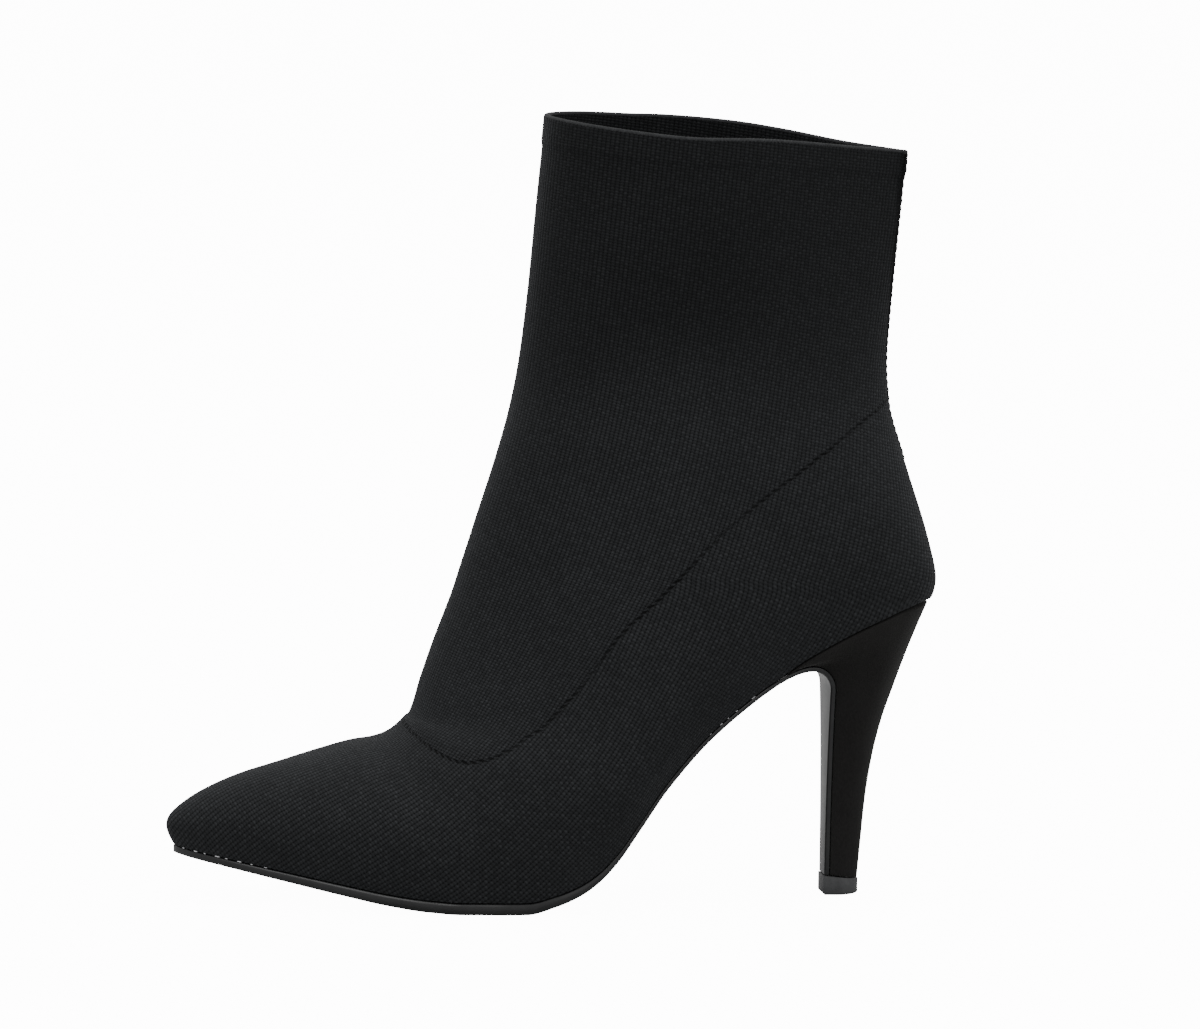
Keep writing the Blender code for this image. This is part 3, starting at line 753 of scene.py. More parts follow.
def stitch_group() -> bpy.types.NodeTree:
    """Builds the knit's stitch: ribs parted by thin lines of painted shade, beaded along each rib, every other bead
    fuller.

    Returns:
        The node group. Its input counts wales in X and courses in Y.
    """
    found = bpy.data.node_groups.get("knit_stitch")
    if found:
        return found
    work = new_group(
        "knit_stitch",
        {"Stitches": ("Vector", None), "Slant": ("Float", 0.14), "Uneven": ("Float", 0.22)},
        {"Height": "Float", "Shade": "Float", "Pit": "Float", "Loop": "Float"},
    )
    start, end = work.tree.nodes["Group Input"], work.tree.nodes["Group Output"]
    stitches = start.outputs["Stitches"]
    drift = work.noise(stitches, Scale=0.35, Detail=2.0)
    parts = work.add("SeparateXYZ")
    work.join(stitches, parts.inputs[0])
    sway = work.maths("MULTIPLY", work.maths("SUBTRACT", drift, 0.5), start.outputs["Uneven"])
    across = work.maths("ADD", parts.outputs[0], sway)
    fold = work.maths("ABSOLUTE", work.maths("SUBTRACT", work.maths("FRACT", across), 0.5))
    fold = work.maths("MULTIPLY", fold, 2.0)
    lean = work.maths("MULTIPLY", fold, start.outputs["Slant"])
    course = work.maths("ADD", work.maths("ADD", parts.outputs[1], sway), lean)
    rib = work.maths("SUBTRACT", 1.0, work.maths("POWER", fold, 2.3))
    bead = work.maths("MULTIPLY_ADD", work.maths("COSINE", work.maths("MULTIPLY", course, 2 * math.pi)), -0.5, 0.5)
    turns = [work.maths("SINE", work.maths("MULTIPLY", value, math.pi)) for value in (across, course)]
    other = work.maths("MULTIPLY", turns[0], turns[1])
    cell = work.add("CombineXYZ")
    for index, value in enumerate((across, course)):
        work.join(work.maths("FLOOR", value), cell.inputs[index])
    chance = work.add("TexWhiteNoise", noise_dimensions="2D")
    work.join(cell.outputs[0], chance.inputs["Vector"])
    sums = []
    for shares in (HEIGHT_SHARES, SHADE_SHARES):
        total = work.maths("MULTIPLY_ADD", bead, shares[1], work.maths("MULTIPLY", other, shares[2]))
        sums.append(work.maths("MULTIPLY_ADD", rib, shares[0], total))
    # The shade paints light on the loops and shade between the ribs, and the pit mask marks painted shade in the pits;
    # the height feeds the real bump.
    shade = work.maths("MULTIPLY", sums[1], work.maths("MULTIPLY_ADD", chance.outputs[0], 0.22, 0.89))
    work.join(sums[0], end.inputs["Height"])
    work.join(work.maths("MAXIMUM", shade, 0.0), end.inputs["Shade"])
    work.join(work.ranged(shade, 0.36, 0.05, soft=True), end.inputs["Pit"])
    work.join(chance.outputs[0], end.inputs["Loop"])
    return work.tree


@dataclass(frozen=True)
class KnitFinish:
    """Black elastic knit: stitches along two maps with painted light on their loops and painted shade in their pits, a
    sunken stitched seam between them with painted shade in it, a soft fuzz, and painted shade up the shaft.
    """

    name: str = "knit"
    # The loops' lighter colour and the pits' darker colour are painted light and shade on the stitches, over the yarn's
    # own black.
    yarn: tuple[float, float, float] = (0.0058, 0.0061, 0.0065)
    lit_loop_colour: tuple[float, float, float] = (0.0214, 0.0226, 0.0242)
    pit_dark: tuple[float, float, float] = (0.0008, 0.0008, 0.0009)
    roughness: float = 0.82
    relief: float = 0.00036
    seam_depth: float = 0.00060
    dash: float = 2.7
    dash_lean: float = 1.6
    dash_edge: tuple[float, float] = (0.36, 0.20)
    line_edge: tuple[float, float] = (0.74, 0.22)
    between_dashes: float = 0.14
    wander: float = 0.7
    seam_dark: tuple[float, float, float] = (0.0003, 0.0003, 0.0003)
    # Painted shade: the knit darkens between these two heights, down to the share below at the top of the shaft, where
    # less light falls.
    painted_height_shade: tuple[float, float] = (0.138, 0.190)
    slack_dark: float = 0.57

    def groove(
        self, work: Surface, distance: bpy.types.NodeSocket, run: bpy.types.NodeSocket
    ) -> bpy.types.NodeSocket:
        """Masks the panel seam's painted shade and its sinking: a wandering line with a slanted dash for each stitch,
        here firm and there faint.

        Args:
            work: The material's nodes.
            distance: Distance from the seam in millimetres.
            run: Length along the seam in millimetres.

        Returns:
            The mask.
        """
        slanted = work.maths("ADD", run, work.maths("MULTIPLY", distance, self.dash_lean))
        beat = work.maths("FRACT", work.maths("DIVIDE", slanted, self.dash))
        dash = work.ranged(work.maths("ABSOLUTE", work.maths("SUBTRACT", beat, 0.5)), *self.dash_edge, soft=True)
        wobble = work.noise(run, Scale=0.22, Detail=1.0, noise_dimensions="1D")
        centre = work.maths("MULTIPLY", work.maths("SUBTRACT", wobble, 0.5), self.wander)
        line = work.ranged(work.maths("ABSOLUTE", work.maths("SUBTRACT", distance, centre)), *self.line_edge, soft=True)
        firm = work.ranged(work.noise(run, Scale=0.035, Detail=1.0, noise_dimensions="1D"), 0.36, 0.54, start=0.42)
        dashed = work.maths("MULTIPLY_ADD", dash, 1 - self.between_dashes, self.between_dashes)
        return work.maths("MULTIPLY", work.maths("MULTIPLY", line, dashed), firm)

    def material(self) -> bpy.types.Material:
        """Builds the material.

        Returns:
            The knit, reading the maps that the upper carries.
        """
        tint = (0.80, 0.84, 0.90, 1.0)
        work = Surface(self.name, Specular_IOR_Level=0.10, Sheen_Weight=0.035, Sheen_Roughness=0.45, Sheen_Tint=tint)
        foot, shaft = (work.add("Group", node_tree=stitch_group()) for _ in range(2))
        for stitch, panel in ((foot, Panel.FOOT), (shaft, Panel.SHAFT)):
            work.join(work.add("UVMap", uv_map=panel.value).outputs[0], stitch.inputs["Stitches"])
        seam = work.add("SeparateXYZ")
        work.join(work.add("UVMap", uv_map="seam").outputs[0], seam.inputs[0])
        side = work.maths("GREATER_THAN", seam.outputs[0], 0.0)
        height, shade, pit, loop = (
            work.mix(side, foot.outputs[key], shaft.outputs[key]) for key in ("Height", "Shade", "Pit", "Loop")
        )
        groove = self.groove(work, seam.outputs[0], seam.outputs[1])
        cloud = work.noise(work.place, Scale=26.0, Detail=3.0, Roughness=0.55)
        fuzz = work.noise(work.place, Scale=2600.0, Detail=2.0)
        # Painted light and shade of the stitches: lit loops lighter, shaded pits darker, with random tone per loop and
        # fine fuzz.
        lit = work.maths("MULTIPLY", work.maths("POWER", shade, 1.5), work.maths("MULTIPLY_ADD", loop, 0.30, 0.68))
        lit = work.maths("MULTIPLY", lit, work.maths("MULTIPLY_ADD", fuzz, 0.6, 0.7))
        colour = work.blend(lit, self.yarn, self.lit_loop_colour)
        colour = work.blend(work.maths("MULTIPLY", pit, 0.85), colour, self.pit_dark)
        stand = work.add("SeparateXYZ")
        work.join(work.place, stand.inputs[0])
        # Painted shade: darker higher up the shaft, where less light falls; the cloud's tone varies at random.
        painted_height_shade = work.ranged(stand.outputs[2], *self.painted_height_shade, 1.0, self.slack_dark, soft=True)
        tone = work.maths("MULTIPLY", work.ranged(cloud, 0.3, 0.7, 0.86, 1.14), painted_height_shade)
        grey = work.add("CombineColor")
        for index in range(3):
            work.join(tone, grey.inputs[index])
        # Painted shade: the seam's groove and stitch holes are darkened in colour, besides the real sinking of the
        # bump.
        colour = work.blend(groove, work.blend(1.0, colour, grey.outputs[0], "MULTIPLY"), self.seam_dark)
        work.feed(Base_Color=colour, Roughness=work.mix(lit, self.roughness + 0.10, self.roughness - 0.12))
        sunk = work.maths("MULTIPLY", groove, self.seam_depth)
        relief = work.maths("SUBTRACT", work.maths("MULTIPLY", height, self.relief), sunk)
        work.bump(work.maths("ADD", relief, work.maths("MULTIPLY", fuzz, self.relief * 0.25)))
        return work.made


@dataclass(frozen=True)
class NapFinish:
    """A short, soft nap such as suede: cloudy colour, fine fibres and a sheen at grazing angles."""

    name: str
    colour: tuple[float, float, float]
    light: tuple[float, float, float]
    cloud: float = 55.0
    grain: float = 1700.0
    relief: float = 0.00012
    roughness: float = 0.92
    sheen: float = 0.04

    def material(self) -> bpy.types.Material:
        """Builds the material.

        Returns:
            The napped finish, on Object coordinates.
        """
        tint = (0.9, 0.88, 0.86, 1.0)
        work = Surface(
            self.name, Specular_IOR_Level=0.10, Sheen_Weight=self.sheen, Sheen_Roughness=0.4, Sheen_Tint=tint
        )
        brushed = work.add("Mapping", Scale=(1.0, 1.0, 0.45))
        work.join(work.place, brushed.inputs[0])
        cloud = work.noise(brushed.outputs[0], Scale=self.cloud, Detail=4.0, Roughness=0.6)
        grain = work.noise(brushed.outputs[0], Scale=self.grain, Detail=2.0, Roughness=0.7)
        mixed = work.maths("MULTIPLY_ADD", grain, 0.55, work.maths("MULTIPLY", cloud, 0.45))
        work.feed(
            Base_Color=work.blend(work.ranged(mixed, 0.30, 0.72), self.colour, self.light),
            Roughness=work.mix(cloud, self.roughness + 0.06, self.roughness - 0.08),
        )
        work.bump(work.maths("MULTIPLY", grain, self.relief))
        return work.made


@dataclass(frozen=True)
class PolishFinish:
    """A smooth, faintly uneven surface such as inked leather board, rubber or dried glue."""

    name: str
    colour: tuple[float, float, float]
    worn: tuple[float, float, float]
    roughness: float
    uneven: float = 0.12
    streak: float = 90.0
    relief: float = 0.00005
    specular: float = 0.5

    def material(self) -> bpy.types.Material:
        """Builds the material.

        Returns:
            The finish, on Object coordinates.
        """
        work = Surface(self.name, Specular_IOR_Level=self.specular)
        streak = work.noise(work.place, Scale=self.streak, Detail=5.0, Roughness=0.6)
        grain = work.noise(work.place, Scale=self.streak * 14, Detail=2.0)
        low, high = max(self.roughness - self.uneven, 0.05), min(self.roughness + self.uneven, 1.0)
        share = work.maths("MULTIPLY_ADD", grain, 0.4, work.maths("MULTIPLY", streak, 0.6))
        work.feed(
            Base_Color=work.blend(work.ranged(streak, 0.38, 0.72), self.colour, self.worn),
            Roughness=work.mix(share, low, high),
        )
        work.bump(work.maths("MULTIPLY", work.maths("MULTIPLY_ADD", grain, 0.35, streak), self.relief))
        return work.made


class StitchMap:
    """Lays knit over a surface so that its wales follow guides drawn in the side view."""

    def __init__(self, points: np.ndarray, normals: np.ndarray, rounds: int = 900, reach: float = 0.024) -> None:
        """Keeps the surface.

        Args:
            points: Its points, rows by columns by 3.
            normals: Its outward normals there.
            rounds: How many rounds the fit may take.
            reach: How far a guide is felt.
        """
        self.points = points
        self.normals = normals
        self.rounds = rounds
        self.reach = reach

    def directions(self, guides: Sequence[Guide]) -> tuple[np.ndarray, np.ndarray]:
        """Finds how fast wales and courses are counted at each point.

        Args:
            guides: The guides of one panel.

        Returns:
            The gradient of the wale count and that of the course count.
        """
        side = self.points[..., [0, 2]]
        spots = np.array([(guide.x, guide.z) for guide in guides]) * MM
        gap = ((side[..., None, :] - spots) ** 2).sum(-1)
        weight = np.exp(-gap / (2 * self.reach**2)) + 1e-6 / (gap + 1e-6)
        weight /= weight.sum(-1, keepdims=True)
        tilt = np.radians([guide.tilt for guide in guides])
        run = np.stack([weight @ np.cos(tilt), np.zeros(gap.shape[:2]), weight @ np.sin(tilt)], -1)
        run -= (run * self.normals).sum(-1, keepdims=True) * self.normals
        run /= np.maximum(np.linalg.norm(run, axis=-1, keepdims=True), 1e-6)
        across = np.cross(self.normals, run)
        wale = weight @ np.array([guide.wale for guide in guides]) * MM
        course = weight @ np.array([guide.course for guide in guides]) * MM
        return across / wale[..., None], run / course[..., None]

    def count(self, gradient: np.ndarray) -> np.ndarray:
        """Fits a count whose gradient is nearest to the one asked for.

        Args:
            gradient: The gradient at each point.

        Returns:
            The count at each point.
        """
        down = self.points[1:] - self.points[:-1]
        side = self.points[:, 1:] - self.points[:, :-1]
        aim_down = ((gradient[1:] + gradient[:-1]) * down).sum(-1) / 2
        aim_side = ((gradient[:, 1:] + gradient[:, :-1]) * side).sum(-1) / 2
        tall = np.maximum(np.linalg.norm(down, axis=-1), 0.05 * MM)
        wide = np.maximum(np.linalg.norm(side, axis=-1), 0.05 * MM)
        rows_share = np.concatenate([tall[:1], (tall[1:] + tall[:-1]) / 2, tall[-1:]])
        columns_share = np.concatenate([wide[:, :1], (wide[:, 1:] + wide[:, :-1]) / 2, wide[:, -1:]], axis=1)
        hold_down = (columns_share[1:] + columns_share[:-1]) / 2 / tall
        hold_side = (rows_share[:, 1:] + rows_share[:, :-1]) / 2 / wide

        def gather(along: np.ndarray, over: np.ndarray) -> np.ndarray:
            """Sums what comes into each point from its neighbours.

            Args:
                along: What passes down each step between two rows.
                over: What passes across each step between two columns.

            Returns:
                The sum at each point.
            """
            total = np.zeros(self.points.shape[:2])
            total[1:] += along
            total[:-1] -= along
            total[:, 1:] += over
            total[:, :-1] -= over
            return total

        middle = self.points.shape[1] // 2
        spine = np.concatenate([[0.0], np.cumsum(aim_down[:, middle])])
        guess = np.concatenate([np.zeros((len(spine), 1)), np.cumsum(aim_side, axis=1)], axis=1)
        guess += spine[:, None] - guess[:, middle : middle + 1]
        target = gather(hold_down * aim_down, hold_side * aim_side)

        def pull(value: np.ndarray) -> np.ndarray:
            """Applies the fit's own matrix to a value at each point."""
            return gather(hold_down * (value[1:] - value[:-1]), hold_side * (value[:, 1:] - value[:, :-1]))

        held = np.zeros(self.points.shape[:2])
        held[1:] += hold_down
        held[:-1] += hold_down
        held[:, 1:] += hold_side
        held[:, :-1] += hold_side
        rest = target - pull(guess)
        eased = rest / held
        step = eased.copy()
        size = (rest * eased).sum()
        first = size
        for _ in range(self.rounds):
            if size < first * 1e-10:
                break
            pulled = pull(step)
            share = size / (step * pulled).sum()
            guess += share * step
            rest -= share * pulled
            eased = rest / held
            new_size = (rest * eased).sum()
            step = eased + step * new_size / size
            size = new_size
        return guess


@dataclass
class KnitUpper:
    """The knitted upper: shaft and foot panels over one shell with a wall, a hem and a folded rim."""

    last: BootLast
    wall: float = 0.0018
    hem_step: float = 0.0004
    hem_depth: float = 0.0085
    hem_ramp: float = 0.04
    sag_depth: float = 0.045
    toe_tuck: float = 0.85
    fullest: float = 0.985
    columns: int = 46
    row_steps: int = 3
    hem_rows: int = 7
    top_rows: int = 8
    evening: int = 6
    fold: float = 0.00078
    seam_sink: float = 0.00024
    seam_swell: float = 0.00018
    sink_reach: float = 1.5
    swell_away: float = 3.6
    swell_reach: float = 2.4
    pucker: float = 0.35
    pucker_pitch: float = 6.2
    rim_depth: float = 0.006
    finish: KnitFinish = field(default_factory=KnitFinish)

    def front_height(self, section: dict[str, np.ndarray]) -> np.ndarray:
        """Height of a section's front point.

        Args:
            section: The section table's columns.

        Returns:
            The height on the instep or on the front of the shaft.
        """
        last = self.last
        throat = last.foot_height(last.throat) + last.instep_height
        collar = last.heel_height + last.shaft_height + last.collar_rise
        start = last.foot_height(np.minimum(section["front"], last.throat)) + section["instep"] * last.instep_height
        return start + section["climb"] * (collar - throat)

    def low_height(self, section: dict[str, np.ndarray]) -> np.ndarray:
        """Height of a section's low point.

        Args:
            section: The section table's columns.

        Returns:
            The height on the foot line or on the back seam.
        """
        last = self.last
        seat = last.heel_height + last.clearance + section["back"] * last.shaft_height
        return np.where(section["back"] > 1e-9, seat, last.foot_height(section["low"]) + last.clearance)

    def section_at(self, place: np.ndarray) -> dict[str, np.ndarray]:
        """Columns of the section table at places counted in its rows.

        Args:
            place: The places.

        Returns:
            Each column's values there.
        """
        index = np.arange(len(SECTIONS), dtype=float)
        return {name: smooth(index, [getattr(row, name) for row in SECTIONS], place) for name in Section._fields}

    def half_at(self, name: str, place: np.ndarray) -> np.ndarray:
        """Half width of the sections on one side.

        Args:
            name: The side's column.
            place: The places in the table.

        Returns:
            The half widths there.
        """
        index = np.arange(len(SECTIONS), dtype=float)
        halves = [getattr(row, name) * self.last.ball_width + row.girth * self.last.collar_width for row in SECTIONS]
        return np.sqrt(np.maximum(smooth(index, np.square(halves), place), 0.0))

    def hem_place(self) -> float:
        """Finds where the hem begins.

        Returns:
            The place in the section table.
        """
        low, high = float(len(SECTIONS) - 2), float(len(SECTIONS) - 1)
        aim = self.front_height(self.section_at(np.array([high])))[0] - self.hem_depth
        for _ in range(30):
            middle = (low + high) / 2
            if self.front_height(self.section_at(np.array([middle])))[0] < aim:
                low = middle
            else:
                high = middle
        return high

    def places(self, seat_close: bool) -> np.ndarray:
        """Places of the grid's rows in the section table, with close rows at the toe and the hem.

        Args:
            seat_close: Whether the rows also draw together at the seat's round end.

        Returns:
            The places in order.
        """
        found = []
        for index, section in enumerate(SECTIONS[:-1]):
            steps = section.steps * self.row_steps
            share = np.arange(steps) / steps
            if index == 0:
                share = share**2
            elif seat_close and SECTIONS[index + 1].low == FOOT_LINE[-1].along:
                share = 1 - (1 - share) ** 2
            found.append(index + share)
        hem = self.hem_place()
        last = float(len(SECTIONS) - 1)
        below = np.concatenate(found)
        below = below[below < hem - 3 * self.hem_ramp]
        near_hem = hem + self.hem_ramp * np.linspace(-1.5, 1.5, self.hem_rows)
        return np.concatenate([below, near_hem, np.linspace(hem + 3 * self.hem_ramp, last, self.top_rows)])

    def outer_face(self) -> np.ndarray:
        """Points of the upper's outer face, from the toe to the collar and from the outer edge to the inner.

        Returns:
            Rows by columns by 3.
        """
        last = self.last
        share = np.linspace(0.0, 1.0, self.columns + 1)[None, :]
        low_share = share * share * (3 - 2 * share)
        place = self.places(False)[:, None] * (1 - low_share) + self.places(True)[:, None] * low_share
        section = self.section_at(place)
        swell = smooth([-1.0, 1.0], [0.0, self.hem_step], (place - self.hem_place()) / self.hem_ramp)
        front_x = last.place_x(section["front"]) - swell
        front_z = self.front_height(section)
        low_x = last.place_x(section["low"]) + swell
        low_z = self.low_height(section)
        length = np.hypot(low_x - front_x, low_z - front_z)
        run = ((low_x - front_x) / length, (low_z - front_z) / length)
        ridge = section["ridge"] * last.ball_width
        edge = np.where(section["back"] > 1e-9, 0.0, last.foot_half(section["low"]))
        middle = last.foot_centre(section["low"])
        faces = []
        for side in Side:
            half = self.half_at(side.name.lower(), place) + swell
            reach = np.maximum(side.value * (middle - ridge) + edge, 0.0) / (1 - last.tucked_in(section["low"], 0.0))
            half = np.maximum(half, reach / self.fullest)
            ratio = np.where(half > 1e-6, reach / np.maximum(half, 1e-9), self.toe_tuck)
            closing = math.pi - np.arcsin(np.clip(ratio, 0, 1) ** (1 / section["under"]))
            angle = closing * share
            first = angle < math.pi / 2
            sine = np.clip(np.sin(angle), 0.0, 1.0)
            down = np.where(
                first,
                section["widest"] * (1 - np.cos(angle)),
                section["widest"] - (1 - section["widest"]) * np.cos(angle) / -np.cos(closing),
            )
            out = np.where(first, sine ** section["top"], sine ** section["under"])
            bend = section["bow"] * last.instep_height * np.sin(math.pi * down)
            x = front_x + run[0] * length * down - run[1] * bend
            z = front_z + run[1] * length * down + run[0] * bend
            above = z - last.clearance - last.foot_height(last.along_of(x))
            width = half * out * (1 - last.tucked_in(last.along_of(x), above))
            spots = [row.x * MM for row in COLLAR_SAG]
            sag = smooth(spots, [getattr(row, side.name.lower()) * MM for row in COLLAR_SAG], x)
            felt = np.clip(1 - (z[-1:] - z) / self.sag_depth, 0.0, 1.0)
            z = z + sag * felt * felt * (3 - 2 * felt)
            faces.append(np.stack([x, ridge + side.value * width, z], -1))
        return np.concatenate([faces[0][:, ::-1], faces[1][:, 1:]], axis=1)

    def evened(self, points: np.ndarray) -> np.ndarray:
        """Evens the rows with passes that keep the size.

        Args:
            points: The outer face.

        Returns:
            The face with its small ripples gone, its edges as they were.
        """
        hem = len(points) - self.hem_rows - self.top_rows - 3
        for turn in range(2 * self.evening):
            strength = 0.5 if turn % 2 == 0 else -0.53
            inner = points[3:hem, 1:-1]
            gap = (points[2 : hem - 1, 1:-1] + points[4 : hem + 1, 1:-1]) / 2 - inner
            points[3:hem, 1:-1] = inner + strength * gap
        return points

    @staticmethod
    def normals_of(points: np.ndarray) -> np.ndarray:
        """Outward normals of the face at its points.

        Args:
            points: Rows by columns by 3.

        Returns:
            Unit normals in the same shape.
        """
        down = np.gradient(points, axis=0)
        side = np.gradient(points, axis=1)
        normals = np.cross(side, down)
        size = np.linalg.norm(normals, axis=-1, keepdims=True)
        normals = normals / np.maximum(size, 1e-12)
        flat = size[..., 0] < 1e-12
        normals[flat] = (-1.0, 0.0, 0.0)
        middle = points.shape[1] // 2
        if normals[len(points) // 3, middle, 2] < 0:
            normals = -normals
        return normals

    @staticmethod
    def seam_map(points: np.ndarray) -> tuple[np.ndarray, np.ndarray]:
        """Signed distance from the panel seam, and the way along it, in millimetres.

        Args:
            points: The outer face.

        Returns:
            The distance, positive on the shaft panel, and the length along the seam.
        """
        seam = np.array([(spot.x, spot.z) for spot in PANEL_SEAM])
        lengths = np.linalg.norm(np.diff(np.array(PANEL_SEAM), axis=0), axis=1)
        ways = np.concatenate([[0.0], np.cumsum(lengths)])
        flat = points[..., [0, 2]].reshape(-1, 2) / MM
        best = np.full(len(flat), 1e9)
        signed = np.zeros(len(flat))
        way = np.zeros(len(flat))
        for index, (start, end) in enumerate(zip(seam, seam[1:])):
            span = end - start
            share = np.clip(((flat - start) @ span) / (span @ span), 0.0, 1.0)
            gap = flat - (start + share[:, None] * span)
            distance = np.linalg.norm(gap, axis=1)
            above = span[0] * gap[:, 1] - span[1] * gap[:, 0]
            near = distance < best
            best[near] = distance[near]
            signed[near] = np.where(above[near] > 0, distance[near], -distance[near])
            way[near] = (ways[index] + share * lengths[index])[near]
        return signed.reshape(points.shape[:2]), way.reshape(points.shape[:2])

    def puckered(self, points: np.ndarray, normals: np.ndarray, distance: np.ndarray, way: np.ndarray) -> np.ndarray:
        """Sinks the panel seam softly and lets the cloth swell beside it.

        Args:
            points: The outer face.
            normals: Its normals.
            distance: Signed distance from the seam in millimetres.
            way: Length along the seam in millimetres.

        Returns:
            The shaped face.
        """
        pulse = 1 + self.pucker * np.sin(way * 2 * math.pi / self.pucker_pitch) * np.cos(way * 0.37)
        sink = -self.seam_sink * np.exp(-((distance / self.sink_reach) ** 2)) * pulse
        swell = self.seam_swell * np.exp(-(((np.abs(distance) - self.swell_away) / self.swell_reach) ** 2))
        return points + normals * (sink + swell)[..., None]

    def build(self) -> bpy.types.Object:
        """Builds and dresses the upper.

        Returns:
            The piece.
        """
        points = self.evened(self.outer_face())
        normals = self.normals_of(points)
        distance, way = self.seam_map(points)
        fit = StitchMap(points, normals)
        maps = {}
        for panel, guides in ((Panel.SHAFT, SHAFT_GUIDES), (Panel.FOOT, FOOT_GUIDES)):
            across, run = fit.directions(guides)
            maps[panel.value] = np.stack([fit.count(across), fit.count(run)], -1)
        maps["seam"] = np.stack([distance, way], -1)
        shaped = self.puckered(points, normals, distance, way)
        shaped[0] = points[0]
        for column in (0, -1):
            shaped[:, column] = points[:, column]
        upper = Workbench.draped_grid("knit_upper", shaped)
        corners = np.empty(len(upper.data.loops), dtype=np.int32)
        upper.data.loops.foreach_get("vertex_index", corners)
        while upper.data.uv_layers:
            upper.data.uv_layers.remove(upper.data.uv_layers[0])
        for name, values in maps.items():
            layer = upper.data.uv_layers.new(name=name)
            layer.data.foreach_set("uv", values.reshape(-1, 2)[corners].reshape(-1))
        Workbench.edit(upper)
        Workbench.apply(upper, "SOLIDIFY", thickness=self.wall, offset=-1.0, use_even_offset=True)
        self.rest_on_foot_line(upper)
        self.round_rim(upper)
        Workbench.shade(upper, 55)
        Workbench.finish(upper, self.finish.material(), "upper", "knit")
        return upper

    def rest_on_foot_line(self, upper: bpy.types.Object) -> None:
        """Lifts the parts of the wall's lower edge that reach under the foot line onto it.

        Args:
            upper: The walled upper.
        """
        last = self.last
        for vertex in upper.data.vertices:
            along = float(last.along_of(vertex.co.x))
            if along >= FOOT_LINE[-1].along or vertex.co.z > float(last.foot_height(along)) + 2 * self.wall:
                continue
            if abs(vertex.co.y - float(last.foot_centre(along))) < float(last.foot_half(along)) - last.clearance:
                vertex.co.z = max(vertex.co.z, float(last.foot_height(along)) + last.clearance)

    def round_rim(self, upper: bpy.types.Object) -> None:
        """Bevels both edges of the collar's rim into a soft fold.

        Args:
            upper: The walled upper.
        """
        rim = self.last.heel_height + self.last.shaft_height - self.rim_depth
        Workbench.pick(upper)
        mesh = upper.data
        for item in (mesh.vertices, mesh.edges, mesh.polygons):
            item.foreach_set("select", np.zeros(len(item), dtype=bool))
        rim_faces = [face for face in mesh.polygons if face.normal.z > 0.8 and face.center.z > rim]
        width = {}
        for face in rim_faces:
            for key in face.edge_keys:
                width[key] = width.get(key, 0) + 1
        edges = {tuple(sorted(edge.vertices)): edge for edge in mesh.edges}
        for key, count in width.items():
            ends = [mesh.vertices[index].co for index in key]
            if count == 1 and (ends[0] - ends[1]).length < 0.02 and min(ends[0].z, ends[1].z) > rim:
                edges[tuple(sorted(key))].select = True
        LOG.info("rim: %d faces", len(rim_faces))
        bpy.ops.object.mode_set(mode="EDIT")
        bpy.ops.mesh.select_mode(type="EDGE")
        bpy.ops.mesh.bevel(offset=self.fold, segments=3, profile=0.5, affect="EDGES", clamp_overlap=True)
        bpy.ops.mesh.select_mode(type="VERT")
        bpy.ops.object.mode_set(mode="OBJECT")

@dataclass
class Piece:
    """A piece laid out as one grid of points, then merged, closed, softened, shaded and dressed."""

    name: ClassVar[str] = ""
    node: ClassVar[str] = ""
    slot: ClassVar[str] = "knit"
    closed: ClassVar[bool] = True
    soften: ClassVar[float] = 0.0
    corner: ClassVar[float] = 30.0
    smooth_below: ClassVar[float] = 40.0

    def grid(self) -> np.ndarray:
        """The piece's points, rows by columns by 3."""
        raise NotImplementedError

    def build(self) -> bpy.types.Object:
        """Builds and dresses the piece.

        Returns:
            The piece.
        """
        thing = Workbench.draped_grid(self.name, self.grid())
        Workbench.edit(thing, self.closed)
        if self.soften:
            limit = math.radians(self.corner)
            Workbench.apply(thing, "BEVEL", width=self.soften, segments=2, limit_method="ANGLE", angle_limit=limit)
        Workbench.shade(thing, self.smooth_below)
        Workbench.finish(thing, self.finish.material(), self.node, self.slot)
        return thing


